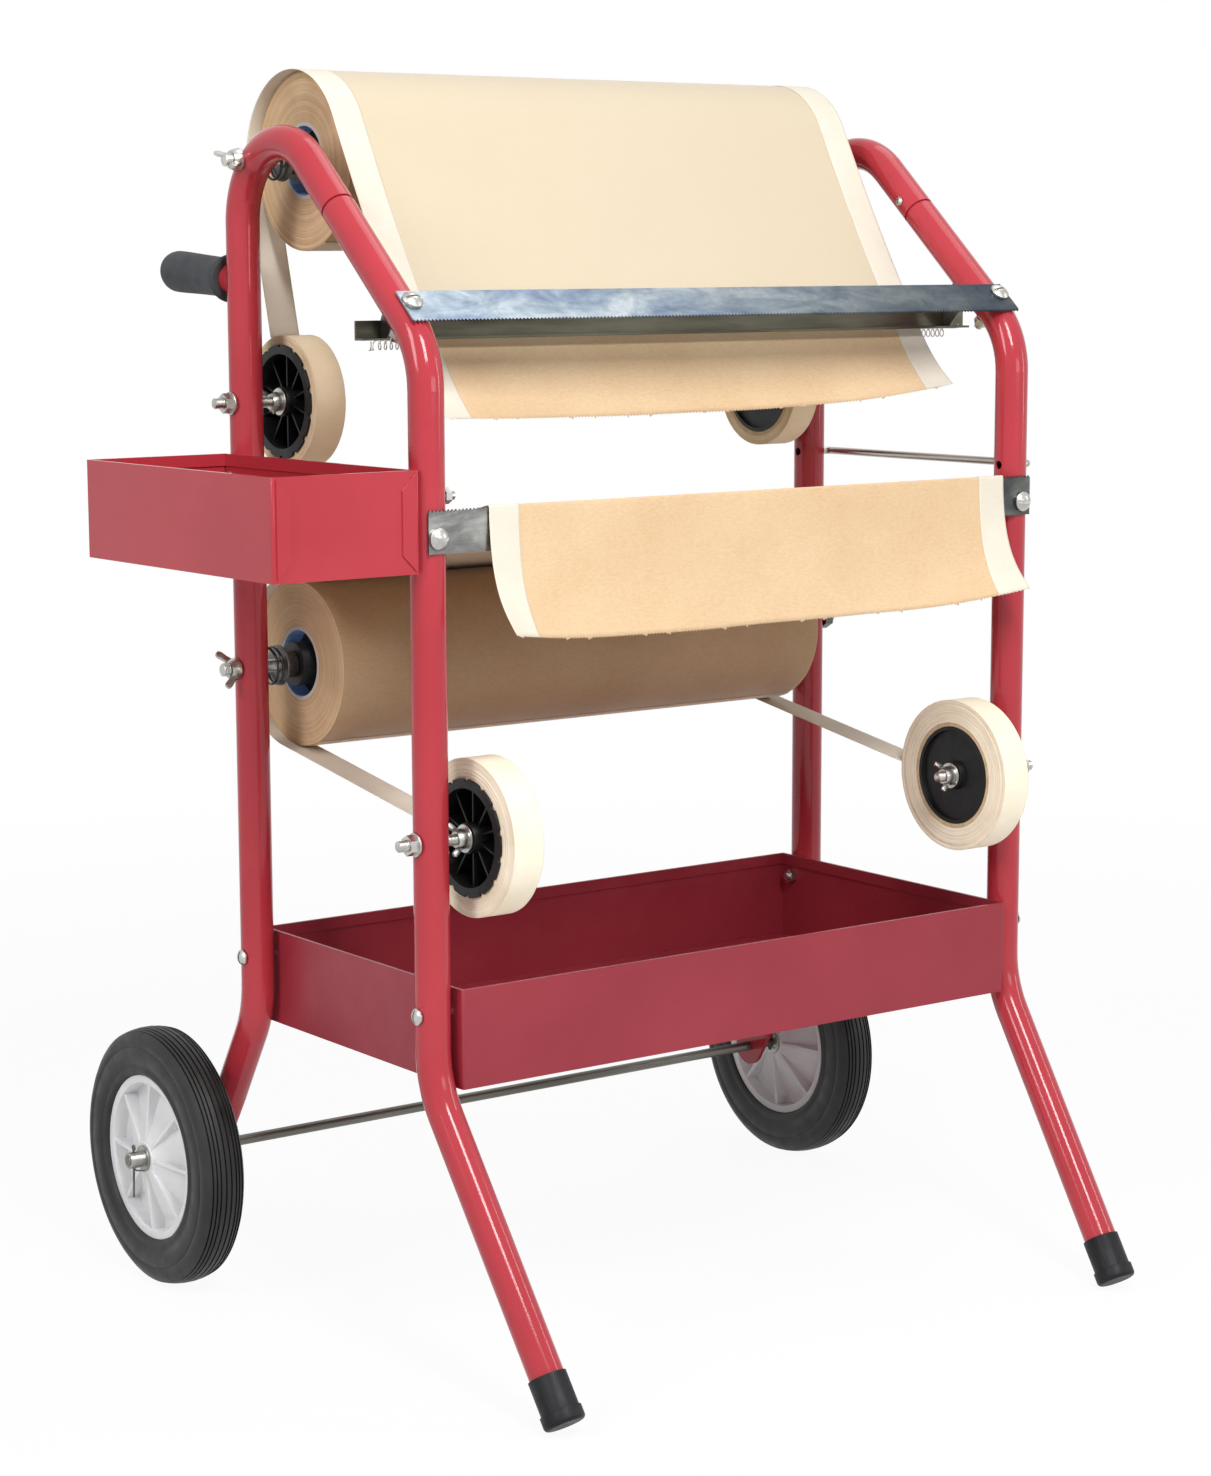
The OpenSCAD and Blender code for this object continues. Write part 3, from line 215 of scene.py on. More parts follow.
class Look:
    """One node material: a shader, object coordinates and a few recipes."""

    def __init__(self, name, **settings):
        self.material = bpy.data.materials.new(name)
        self.material.use_nodes = True
        self.nodes = self.material.node_tree.nodes
        self.links = self.material.node_tree.links
        self.shader = self.nodes["Principled BSDF"]
        self.place = self.node("ShaderNodeTexCoord").outputs["Object"]
        self.normal = None
        for key, value in settings.items():
            self.shader.inputs[key.replace("_", " ")].default_value = value

    def node(self, kind, **settings):
        made = self.nodes.new(kind)
        for key, value in settings.items():
            setattr(made, key, value)
        return made

    def feed(self, socket, value):
        if isinstance(value, bpy.types.NodeSocket):
            self.links.new(value, socket)
        else:
            socket.default_value = value

    def stretched(self, stretch):
        mapping = self.node("ShaderNodeMapping")
        self.links.new(self.place, mapping.inputs["Vector"])
        mapping.inputs["Scale"].default_value = stretch
        return mapping.outputs["Vector"]

    def noise(self, scale, detail=3.0, rough=0.55, stretch=None, warp=0.0):
        made = self.node("ShaderNodeTexNoise")
        self.links.new(self.stretched(stretch) if stretch else self.place, made.inputs["Vector"])
        made.inputs["Scale"].default_value = scale
        made.inputs["Detail"].default_value = detail
        made.inputs["Roughness"].default_value = rough
        made.inputs["Distortion"].default_value = warp
        return made.outputs["Fac"]

    def along(self, axis):
        """One object coordinate."""
        split = self.node("ShaderNodeSeparateXYZ")
        self.links.new(self.place, split.inputs[0])
        return split.outputs[axis]

    def attribute(self, name):
        return self.node("ShaderNodeAttribute", attribute_name=name).outputs["Fac"]

    def ramp(self, fac, *stops):
        made = self.node("ShaderNodeValToRGB")
        self.links.new(fac, made.inputs["Fac"])
        elements = made.color_ramp.elements
        while len(elements) < len(stops):
            elements.new(0.5)
        for element, (position, colour) in zip(elements, stops):
            element.position = position
            element.color = rgb(colour)
        return made.outputs["Color"]

    def mix(self, fac, a, b, mode="MIX"):
        made = self.node("ShaderNodeMix", data_type="RGBA", blend_type=mode)
        for socket, value in ((0, fac), (6, a), (7, b)):
            self.feed(made.inputs[socket], value)
        return made.outputs[2]

    def level(self, fac, low, high, start=0.3, end=0.7):
        """The input from start to end, spread from low to high."""
        made = self.node("ShaderNodeMapRange")
        spread = {"Value": fac, "From Min": start, "From Max": end, "To Min": low, "To Max": high}
        for key, value in spread.items():
            self.feed(made.inputs[key], value)
        return made.outputs["Result"]

    def bump(self, height, distance, strength=1.0):
        made = self.node("ShaderNodeBump")
        self.links.new(height, made.inputs["Height"])
        made.inputs["Distance"].default_value = distance
        made.inputs["Strength"].default_value = strength
        if self.normal:
            self.links.new(self.normal, made.inputs["Normal"])
        self.normal = made.outputs["Normal"]

    def finished(self, colour, roughness=None):
        self.feed(self.shader.inputs["Base Color"], colour)
        if roughness is not None:
            self.feed(self.shader.inputs["Roughness"], roughness)
        if self.normal:
            self.links.new(self.normal, self.shader.inputs["Normal"])
        return self.material


# Dark flecks in the paint
FLECK = "#8E2430"
# Shine marks on the blades' zinc, and the tone that their right end darkens to as painted shade
SPANGLE_DARK, SPANGLE_LIGHT = "#B4B7BA", "#FFFFFC"
ZINC_RIGHT_SHADE = "#8E9292"
BLADE_REACH = 270 * MM
# Kraft paper: its fibres, its cloudy tone, and the tone, share and fade of a painted highlight on its
# lit top
FIBRE_DARK, FIBRE_LIGHT = "#C8A47B", "#E2C8A5"
CLOUD_DARK, CLOUD_LIGHT = "#D0AE86", "#DCC09B"
PAINTED_HIGHLIGHT = "#C9BDA6"
HIGHLIGHT_SHARE = 0.85
HIGHLIGHT_RISE, HIGHLIGHT_FADE = 30 * MM, 60 * MM
# Blotches on the ends of wound rolls
BLOTCH = "#DDD6CC"
WHITE = "#FFFFFF"


def enamel(name, dark, light, low, high):
    """Gloss paint with a few dark flecks; its roughness goes from low to high."""
    look = Look(name, Specular_IOR_Level=0.34)
    tone = look.ramp(look.noise(9, 4), (0.3, dark), (0.7, light))
    flecks = look.level(look.noise(420, 2), 0.0, 0.25, start=0.66, end=0.78)
    look.bump(look.noise(700, 2), 0.06 * MM, 0.4)
    tone = look.mix(flecks, tone, rgb(FLECK))
    return look.finished(tone, look.level(look.noise(60, 4), low, high))


def metal(name, dark, light, low, high, grain=(1, 1, 1)):
    """Bare metal; grain stretches its marks, and its roughness goes from low to high."""
    look = Look(name, Metallic=1.0)
    tone = look.ramp(look.noise(60, 5, 0.6, grain), (0.3, dark), (0.7, light))
    look.bump(look.noise(840, 2, 0.5, grain), 0.03 * MM, 0.4)
    return look.finished(tone, look.level(look.noise(180, 4, 0.6, grain), low, high))


def blade_zinc(name, dark, mid, light):
    """Thin zinc with cloudy patches, rubbed along its length, with painted shade darkening it to the
    right.
    """
    look = Look(name, Metallic=1.0)
    patches = look.noise(42, 6, 0.62, stretch=(0.4, 1, 1), warp=0.6)
    cloud = look.ramp(patches, (0.36, dark), (0.5, mid), (0.64, light))
    spangle = look.ramp(look.noise(160, 3, 0.6), (0.35, SPANGLE_DARK), (0.7, SPANGLE_LIGHT))
    # Painted shade: the tone darkens from the left end of the blade to its right end
    rightward = look.level(look.along("X"), 0.0, 1.0, -BLADE_REACH, BLADE_REACH)
    right_shade = look.ramp(rightward, (0.0, WHITE), (1.0, ZINC_RIGHT_SHADE))
    tone = look.mix(1.0, look.mix(0.35, cloud, spangle, "MULTIPLY"), right_shade, "MULTIPLY")
    look.bump(look.noise(900, 2, 0.5, stretch=(0.04, 1, 1)), 0.04 * MM, 0.35)
    rubbed = look.noise(40, 5, 0.6, stretch=(0.6, 1, 1), warp=0.8)
    return look.finished(tone, look.level(rubbed, 0.2, 0.42))


def rubber(name, dark, light, roughness, grain, gloss=0.4):
    """Rubber or foam; grain is the scale of its fine bumps."""
    look = Look(name, Specular_IOR_Level=gloss)
    tone = look.ramp(look.noise(35, 5), (0.3, dark), (0.72, light))
    look.bump(look.noise(grain, 3), 0.08 * MM, 0.5)
    return look.finished(tone, look.level(look.noise(80, 3), roughness - 0.08, roughness + 0.08))


def moulded(name, dark, light, roughness, translucent=0.0, gloss=0.5):
    """Smooth moulded plastic, or a plastic coat on wire."""
    look = Look(name, Subsurface_Weight=translucent, Subsurface_Scale=4 * MM,
                Specular_IOR_Level=gloss)
    tone = look.ramp(look.noise(24, 4), (0.3, dark), (0.7, light))
    look.bump(look.noise(1400, 2), 0.03 * MM, 0.4)
    return look.finished(tone, look.level(look.noise(120, 3), roughness - 0.06, roughness + 0.08))


def kraft(name, shade=WHITE, pale=None):
    """Brown wrapping paper: fine fibres, cloudy tone and faint ripples.

    It is paler above the height pale[0] and in front of the depth pale[1]: a painted highlight on its
    lit top.
    """
    look = Look(name, Specular_IOR_Level=0.3, Sheen_Weight=0.4, Sheen_Roughness=0.4)
    strands = look.noise(700, 4, 0.7, stretch=(0.35, 1, 1))
    fibres = look.ramp(strands, (0.3, FIBRE_DARK), (0.7, FIBRE_LIGHT))
    cloud = look.ramp(look.noise(16, 5, 0.6), (0.3, CLOUD_DARK), (0.7, CLOUD_LIGHT))
    # The shade tint darkens the paper all over: painted shade, given for the wound rolls
    tone = look.mix(1.0, look.mix(0.4, cloud, fibres), rgb(shade), "MULTIPLY")
    # Painted highlight: the web turns paler above the bar and in front of the roll, where its top is
    # lit
    if pale:
        above = look.level(look.along("Z"), 0.0, HIGHLIGHT_SHARE, pale[0], pale[0] + HIGHLIGHT_RISE)
        front = look.level(look.along("Y"), 1.0, 0.0, pale[1], pale[1] + HIGHLIGHT_FADE)
        both = look.node("ShaderNodeMath", operation="MULTIPLY")
        look.links.new(above, both.inputs[0])
        look.links.new(front, both.inputs[1])
        tone = look.mix(both.outputs[0], tone, rgb(PAINTED_HIGHLIGHT))
    look.bump(look.noise(900, 4, 0.65), 0.08 * MM, 0.5)
    look.bump(look.noise(38, 3, 0.5, stretch=(1, 0.35, 0.35)), 0.7 * MM, 0.25)
    look.bump(look.noise(9, 2, 0.5, stretch=(1.4, 0.5, 0.5), warp=0.6), 6 * MM, 0.12)
    return look.finished(tone, look.level(look.noise(90, 3), 0.72, 0.88))


def wound_edge(name, dark, light):
    """Cut edges of many wound layers, one tone a layer."""
    look = Look(name, Specular_IOR_Level=0.2)
    layers = look.ramp(look.attribute("layer"), (0.0, dark), (1.0, light))
    blotches = look.ramp(look.noise(30, 4), (0.3, BLOTCH), (0.7, WHITE))
    tone = look.mix(0.6, layers, blotches, "MULTIPLY")
    look.bump(look.noise(1100, 2), 0.05 * MM, 0.5)
    return look.finished(tone, look.level(look.noise(200, 2), 0.7, 0.88))


def crepe(name, dark, light):
    """Masking tape: fine crepe ridges across its length."""
    look = Look(name, Specular_IOR_Level=0.3)
    ridges = look.noise(1000, 3, 0.6, stretch=(0.06, 1, 1))
    tone = look.mix(0.3, look.ramp(look.noise(30, 4), (0.3, dark), (0.7, light)),
                    look.ramp(ridges, (0.3, dark), (0.7, light)))
    look.bump(ridges, 0.12 * MM, 0.6)
    return look.finished(tone, look.level(look.noise(150, 2), 0.55, 0.72))


def board(name, dark, light, cut=None):
    """Pressed board; cut is the tone of its sawn ends, which face along X."""
    look = Look(name, Specular_IOR_Level=0.2)
    pulp = look.noise(240, 5, 0.65, stretch=(0.5, 1, 1))
    tone = look.ramp(pulp, (0.3, dark), (0.7, light))
    if cut:
        split = look.node("ShaderNodeSeparateXYZ")
        look.links.new(look.node("ShaderNodeTexCoord").outputs["Normal"], split.inputs[0])
        facing = look.node("ShaderNodeMath", operation="ABSOLUTE")
        look.links.new(split.outputs["X"], facing.inputs[0])
        sawn = look.level(facing.outputs[0], 0.0, 1.0, start=0.4, end=0.6)
        tone = look.mix(sawn, tone, rgb(cut))
    look.bump(look.noise(600, 3), 0.1 * MM, 0.5)
    return look.finished(tone, look.level(look.noise(100, 2), 0.75, 0.9))


RED = enamel("red_enamel", "#A82F39", "#B33741", 0.09, 0.16)
# Darker copy of the red enamel with a rougher gloss: painted shade for the less lit bottom tray
SHADED_TRAY_RED = enamel("shaded_tray_enamel", "#8B2834", "#96303C", 0.3, 0.42)
ZINC = metal("bright_zinc", "#A5A39C", "#CFCECA", 0.24, 0.4)
WORN_ZINC = metal("worn_zinc", "#8A8984", "#B2B1AB", 0.3, 0.45)
STEEL = metal("dark_steel", "#4A4A48", "#75746E", 0.28, 0.46, (0.1, 1, 1))
DULL_STEEL = metal("dull_steel", "#5C5C5B", "#878683", 0.4, 0.55)
BLACK_WIRE = moulded("black_wire", "#161617", "#232325", 0.22)
AXLE = metal("axle_steel", "#5E5C56", "#7E7C75", 0.36, 0.52, (0.08, 1, 1))
RAIL = metal("rail_wire", "#A09C95", "#C6C2BA", 0.25, 0.4, (1, 0.1, 1))
OLIVE = metal("bar_steel", "#454338", "#706D60", 0.28, 0.48, (0.12, 1, 1))
UPPER_ZINC = blade_zinc("upper_blade_zinc", "#6C7A90", "#8B97A1", "#ACB3B8")
LOWER_ZINC = blade_zinc("lower_blade_zinc", "#727275", "#929290", "#BDBCB7")
CAP_RUBBER = rubber("cap_rubber", "#101113", "#1B1C1F", 0.5, 900, 0.22)
GRIP_RUBBER = rubber("grip_foam", "#2E3033", "#414448", 0.72, 1300)
TYRE_RUBBER = rubber("tyre_rubber", "#191919", "#282827", 0.5, 700, 0.36)
HUB_WHITE = moulded("hub_plastic", "#DCDCDE", "#E8E8E8", 0.42, 0.12)
BLACK = moulded("black_plastic", "#0C0D0D", "#161718", 0.45, gloss=0.3)
# The rolls get the web's kraft darkened by a tint: painted shade
KRAFT = kraft("kraft_paper", "#D6D0CC")
KRAFT_WEB = kraft("kraft_web", pale=(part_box("tension_bar")[0].z, middle("upper_paper_roll").y))
KRAFT_EDGE = wound_edge("kraft_edge", "#CDAC87", "#DDBF9A")
STRIP = crepe("strip_crepe", "#D5CCBC", "#DFD7C8")
TAPE = crepe("tape_crepe", "#EEE3C9", "#F6EDD8")
TAPE_EDGE = wound_edge("tape_edge", "#F0E1C8", "#FBF1DD")
TAN_TAPE = crepe("tan_tape_crepe", "#E9D2AE", "#F4E1C3")
TAN_EDGE = wound_edge("tan_tape_edge", "#E4CCA9", "#F2DFC0")
BLUE_BOARD = board("blue_board", "#6F9DE6", "#9CC2F8", "#C4BCB2")
TAPE_BOARD = board("tape_board", "#B49A78", "#D2BC9A")


# Finishes of the CAD nodes that stay

WELD_GAP = 0.002 * MM
BEVEL_FROM = math.radians(40)


def dress(node, material, bevel=0.0):
    """Material on a CAD node, and a small round on its edges where bevel is given."""
    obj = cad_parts[node]
    obj.data.materials.clear()
    obj.data.materials.append(material)
    if bevel:
        weld = obj.modifiers.new("weld", "WELD")
        weld.merge_threshold = WELD_GAP
        edge = obj.modifiers.new("bevel", "BEVEL")
        edge.width = bevel
        edge.segments = 2
        edge.limit_method = "ANGLE"
        edge.angle_limit = BEVEL_FROM
        edge.use_clamp_overlap = True
        edge.harden_normals = True


TAPE_HUBS = [place + "_tape_hub" for place in TAPE_PLACES]
TAPE_CORES = [place + "_tape_core" for place in TAPE_PLACES]
FINISHES = [
    (RED, 0.0, ["left_front_tube", "right_front_tube", "left_rear_tube", "right_rear_tube"]),
    (RED, 0.0, ["handle_stubs"]),
    (RED, 0.4 * MM, ["tool_tray"]),
    (SHADED_TRAY_RED, 0.4 * MM, ["bottom_tray"]),
    (CAP_RUBBER, 0.5 * MM, ["foot_caps"]),
    (ZINC, 0.3 * MM, ["self_tapping_screws", "pan_screws", "hex_nuts"]),
    (ZINC, 0.3 * MM, ["stud_flange_nuts", "tape_washers"]),
    (WORN_ZINC, 0.3 * MM, ["axle_washers"]),
    (DULL_STEEL, 0.3 * MM, ["roll_spacers"]),
    (AXLE, 0.3 * MM, ["axle"]),
    (STEEL, 0.3 * MM, ["bar_brackets", "rod_hex_nuts"]),
    (RAIL, 0.0, ["side_rail"]),
    (OLIVE, 0.3 * MM, ["tension_bar"]),
    (UPPER_ZINC, 0.0, ["upper_blade"]),
    (LOWER_ZINC, 0.0, ["lower_blade"]),
    (HUB_WHITE, 0.5 * MM, ["left_wheel_hub", "right_wheel_hub"]),
    (BLACK, 0.4 * MM, ["upper_roll_plugs", "lower_roll_plugs"] + TAPE_HUBS),
    (BLUE_BOARD, 0.3 * MM, ["upper_roll_core", "lower_roll_core"]),
    (TAPE_BOARD, 0.3 * MM, TAPE_CORES),
]
for material, bevel, nodes in FINISHES:
    for node in nodes:
        dress(node, material, bevel)


# Wheels

TYRE_STEPS = 160
# Bead and lower side wall, in mm: in from the side, out from the rim
TYRE_BEAD = ((5, 0), (1.5, 1.2), (0.4, 4), (1.4, 6), (1.6, 8), (0, 10))
# Raised ring on the upper side wall, in mm: in from the side, in from the crown
TYRE_RING = ((0, 15), (0.8, 14), (0.3, 13))
# Points on the round shoulder, in degrees
SHOULDER_TURNS = (15, 30, 45)
SHOULDER_FOOT = 13 * MM
SHOULDER_WIDTH = 9.5 * MM
SHOULDER_HEIGHT = 11.6 * MM
# Half the curvature of the crown, per metre
CROWN_BEND = 14
GROOVES = (2.2 * MM, 6.5 * MM, 9.5 * MM, 12.5 * MM)
GROOVE_HALF = 0.7 * MM
GROOVE_FLOOR_HALF = GROOVE_HALF * 0.8
GROOVE_DEPTH = 1.6 * MM


def tyre_profile(radius, width, rim):
    """Section of a solid tyre: bead, side wall with a raised ring, round shoulder, grooved crown."""
    half = width / 2
    side = [(-half + x * MM, rim + r * MM) for x, r in TYRE_BEAD]
    side += [(-half + x * MM, radius - r * MM) for x, r in TYRE_RING]
    for a in (math.radians(turn) for turn in SHOULDER_TURNS):
        side.append((-half + SHOULDER_WIDTH * (1 - math.cos(a)),
                     radius - SHOULDER_FOOT + SHOULDER_HEIGHT * math.sin(a)))
    crown = []
    for x in [-x for x in reversed(GROOVES)] + list(GROOVES):
        r = radius - CROWN_BEND * x * x
        crown += [(x - GROOVE_HALF, r), (x - GROOVE_FLOOR_HALF, r - GROOVE_DEPTH),
                  (x + GROOVE_FLOOR_HALF, r - GROOVE_DEPTH), (x + GROOVE_HALF, r)]
    return side + crown + [(-x, r) for x, r in reversed(side)]


for side in SIDES:
    tyre = side + "_tyre"
    rim = half_size(side + "_wheel_hub").z
    profile = tyre_profile(half_size(tyre).z, 2 * half_size(tyre).x, rim)
    made = lathe(profile, middle(tyre), TYRE_STEPS)
    piece(tyre + "_rubber", *made, side + "_wheel", "tyre_rubber", TYRE_RUBBER, [tyre], sharp=50)


# Split pins through the axle

PIN_LEG_R = 0.85 * MM
PIN_TAIL_R = 0.6 * MM
PIN_EYE_R = 1.7 * MM
EYE_WIRE_R = 0.8 * MM
# Opening of the eye to each side of its foot, in degrees
EYE_GAP = 25
EYE_RISE = 3.4 * MM
PIN_TOP = 5.8 * MM
# Short leg bent aside, in mm: towards the middle, to the back, up from the collar's underside
SHORT_LEG = ((0, -0.5, 6), (0, -0.5, -0.6), (0.4, -1.0, -1.5), (1.2, -2.4, -1.9), (4.6, -8.6, -1.0))


def split_pin(low, high):
    """Wires of a pin with a round eye above the axle, a straight leg and a short bent one."""
    axle = middle("axle")
    x, y = (low.x + high.x) / 2, (low.y + high.y) / 2
    inward = 1 if x < axle.x else -1
    collar_r = high.z - PIN_TOP - axle.z
    eye_z = axle.z + collar_r + EYE_RISE
    below = axle.z - collar_r
    eye = [(x, y + PIN_EYE_R * math.sin(a), eye_z - PIN_EYE_R * math.cos(a))
           for a in np.radians(np.linspace(EYE_GAP, 360 - EYE_GAP, 21))]
    long_leg = [(x, y + 0.4 * MM, eye_z - 1.5 * MM), (x, y + 0.5 * MM, below),
                (x - inward * 0.6 * MM, y + 0.6 * MM, low.z + PIN_LEG_R)]
    short_leg = [(x + inward * a * MM, y + b * MM, below + c * MM) for a, b, c in SHORT_LEG]
    return [tube(eye, EYE_WIRE_R), tube(long_leg, PIN_LEG_R), tube(short_leg, PIN_TAIL_R)]


pins = [wire for low, high in solids("axle_split_pins") for wire in split_pin(low, high)]
piece("split_pins", *joined(pins), "frame", "dark_steel", STEEL, ["axle_split_pins"])


# Rods, studs and wing nuts

ROD_R = half_size("upper_roll_rod").z
STUD_R = 4 * MM
ROD_PITCH = 1.5 * MM
STUD_PITCH = 1.25 * MM
ROD_THREAD = 60 * MM
NUT_STEPS = 28
# Body of a wing nut, in mm: along the axis from its seat, out from the bore
NUT_BODY = ((0, 0), (0, 3.2), (1.2, 3.5), (5.5, 2.3), (7, 1.7), (7, 0))
# Section of a wing: mm from its middle plane, share of its outline there
WING_SECTION = ((-1.4, 0.86), (-1, 1), (1, 1), (1.4, 0.86))
# Wing outline as shares of the bore's radius, and its waist as a share of its width
WING_TIP = (2.5, 2.2)
WING_HALF = 0.56
WING_WAIST = 0.86
# How far each nut is turned, in degrees, from left to right
ROD_NUT_TURNS = (22, 57)
TAPE_NUT_TURNS = (70, 40, 120, 20, 65, 115, 30, 80)


def wing_outline(bore):
    """Outline and middle of a wing that leans outward to a round tip, as (out from axis, along it)."""
    root = np.array((bore + 0.6 * MM, 3.4 * MM))
    tip = np.array(WING_TIP) * bore
    along = (tip - root) / np.linalg.norm(tip - root)
    across = np.array((-along[1], along[0]))
    half = WING_HALF * bore
    waist = root + 0.5 * (tip - root)
    outline = [root - half * across, waist - WING_WAIST * half * across]
    outline += [tip + half * (math.cos(a) * along + math.sin(a) * across)
                for a in np.radians(np.linspace(-90, 90, 9))]
    outline += [waist + WING_WAIST * half * across, root + half * across]
    return outline, (root + tip) / 2


def wing_nut(centre, bore, turn, pointing):
    """Pressed wing nut on an axis along X; pointing is the sign of X away from its seat."""
    body = [(x * MM * pointing, bore + r * MM) for x, r in NUT_BODY]
    parts = [lathe(body, ORIGIN, NUT_STEPS)]
    outline, mid = wing_outline(bore)
    rows, columns = len(WING_SECTION), len(outline)
    for flip in (1, -1):
        points = [(pointing * x, flip * r, thick * MM) for thick, share in WING_SECTION
                  for r, x in (mid + (p - mid) * share for p in outline)]
        parts.append((points, grid_faces(rows, columns, wrap_columns=True) + end_caps(rows, columns)))
    points, faces = joined(parts)
    place = Matrix.Translation(centre) @ Matrix.Rotation(math.radians(turn), 4, "X")
    return [place @ Vector(p) for p in points], faces


def nearest_axis(low, high):
    """Y and Z of the rod or stud nearest to a box."""
    bars = ("upper_roll_rod", "lower_roll_rod", "upper_left_tape", "lower_left_tape")
    y, z = (low.y + high.y) / 2, (low.z + high.z) / 2
    best = min((middle(bar) for bar in bars), key=lambda at: (at.y - y) ** 2 + (at.z - z) ** 2)
    return best.y, best.z


def nuts(node, bore, pointing_of, turns):
    """Wing nuts in the places of a node's solids."""
    parts = []
    for (low, high), turn in zip(solids(node), turns):
        pointing = pointing_of((low.x + high.x) / 2)
        seat = low.x if pointing > 0 else high.x
        parts.append(wing_nut((seat, *nearest_axis(low, high)), bore, turn, pointing))
    return joined(parts)


def away_from_hub(x):
    """Sign of X from the tape hub on that side to x."""
    side = "right" if x > middle("upper_roll_rod").x else "left"
    return 1 if x > middle("upper_" + side + "_tape").x else -1


rod_nuts = nuts("rod_wing_nuts", ROD_R, lambda x: -1, ROD_NUT_TURNS)
piece("rod_wing_nut_pair", *rod_nuts, "frame", "zinc", ZINC, ["rod_wing_nuts"], sharp=40)
tape_nuts = nuts("tape_wing_nuts", STUD_R, away_from_hub, TAPE_NUT_TURNS)
piece("tape_wing_nut_set", *tape_nuts, "frame", "zinc", ZINC, ["tape_wing_nuts"], sharp=40)

for rod in ("upper_roll_rod", "lower_roll_rod"):
    low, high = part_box(rod)
    plain = (low.x + ROD_THREAD, high.x - ROD_THREAD)
    made = threaded_bar(middle(rod), low.x, high.x, ROD_R, ROD_PITCH, plain)
    piece(rod + "_threaded", *made, "frame", "zinc", ZINC, [rod], sharp=60)

studs = [threaded_bar((low + high) / 2, low.x, high.x, STUD_R, STUD_PITCH)
         for low, high in solids("tape_studs")]
piece("tape_studs_threaded", *joined(studs), "frame", "zinc", ZINC, ["tape_studs"], sharp=60)


# Handle grips

GRIP_TILT = math.radians(4)
GRIP_Z = 769 * MM
GRIP_STEPS = 40
# Rolled collar and swollen body, in mm: along the grip, out from its axis
GRIP_BODY = ((17.5, 11.2), (17, 15.5), (17.6, 17.4), (19.2, 18), (21, 17.4), (22.4, 15.8),
             (24.5, 14.9), (40, 14.6), (60, 14.8), (80, 15.2), (92, 15.3))
GRIP_END = 94.5 * MM
GRIP_END_LENGTH = 15 * MM
GRIP_END_R = 15.3 * MM
GRIP_BLUNT = 0.9
GRIP_SEED = 7
GRIP_SWELL = 0.006


def grip(x):
    """Soft sleeve with a rolled collar, a slightly swollen body and a blunt round end."""
    profile = [(a * MM, r * MM) for a, r in GRIP_BODY]
    profile += [(GRIP_END + GRIP_END_LENGTH * math.sin(a), GRIP_END_R * math.cos(a) ** GRIP_BLUNT)
                for a in np.radians(np.linspace(6, 88, 9))]
    points, faces = lathe(profile, ORIGIN, GRIP_STEPS, False)
    faces += end_caps(len(profile), GRIP_STEPS)[1:]
    soft = random.Random(GRIP_SEED)
    waves = [(soft.uniform(20, 120), soft.uniform(0, 6.28), soft.randint(1, 3)) for _ in range(6)]
    base = Vector((x, middle("upper_left_tape").y, GRIP_Z))
    turn = Matrix.Rotation(GRIP_TILT, 4, "X") @ Matrix.Rotation(math.pi / 2, 4, "Z")
    place = Matrix.Translation(base) @ turn
    placed = []
    for p in points:
        a = math.atan2(p[2], p[1])
        swell = 1 + sum(GRIP_SWELL * math.sin(f * p[0] + s + n * a) for f, s, n in waves)
        placed.append(place @ Vector((p[0], p[1] * swell, p[2] * swell)))
    return placed, faces


grips = [grip((low.x + high.x) / 2) for low, high in solids("handle_grips")]
piece("soft_grips", *joined(grips), "frame", "grip_foam", GRIP_RUBBER, ["handle_grips"], sharp=60)


# Springs

SPRING_D = 7.5 * MM
SPRING_WIRE = 0.9 * MM
SPRING_TURNS = 112
SPRING_POINTS_A_TURN = 14
SPRING_RISE = 2 * MM
SPRING_LEFT_INSET = 10 * MM
SPRING_RIGHT_INSET = 4.5 * MM
DRAG_WIRE = 2 * MM
DRAG_TURNS = 1.75
DRAG_R = 13.8 * MM
# Angle at which the wire starts, in radians
DRAG_FROM = 1.6


def tension_spring_path():
    """Long stretched coil with an open hook at each end."""
    low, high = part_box("tension_spring")
    r = (SPRING_D - SPRING_WIRE) / 2
    y, z = high.y - SPRING_D / 2, low.z + SPRING_D / 2 + SPRING_RISE
    start, end = low.x + SPRING_LEFT_INSET, high.x - SPRING_RIGHT_INSET
    last = SPRING_TURNS - 0.5
    coil = [(start + (end - start) * t / last, y + r * math.cos(math.tau * t - math.pi / 2),
             z + r * math.sin(math.tau * t - math.pi / 2))
            for t in np.linspace(0, last, SPRING_TURNS * SPRING_POINTS_A_TURN)]
    hook_y = low.y + SPRING_WIRE / 2
    top = high.z - SPRING_WIRE / 2

    def hook(x, inward, level):
        return [(x, hook_y, top), (x, hook_y, level + 3 * MM),
                (x, hook_y + 0.6 * MM, level + 0.8 * MM),
                (x + inward * 0.5 * MM, hook_y + 2 * MM, level),
                (x + inward * 2 * MM, (hook_y + y) / 2, level)]

    left = hook(low.x + SPRING_WIRE / 2, 1, z - r)
    right = hook(high.x - SPRING_WIRE / 2, -1, z + r)[::-1]
    return left + coil + right


def drag_spring(low, high):
    """Short open coil around a rod."""
    y, z = nearest_axis(low, high)
    length = high.x - low.x - DRAG_WIRE
    path = [(low.x + DRAG_WIRE / 2 + length * t / DRAG_TURNS,
             y + DRAG_R * math.cos(math.tau * t + DRAG_FROM),
             z + DRAG_R * math.sin(math.tau * t + DRAG_FROM))
            for t in np.linspace(0, DRAG_TURNS, 60)]
    return tube(path, DRAG_WIRE / 2, 12)


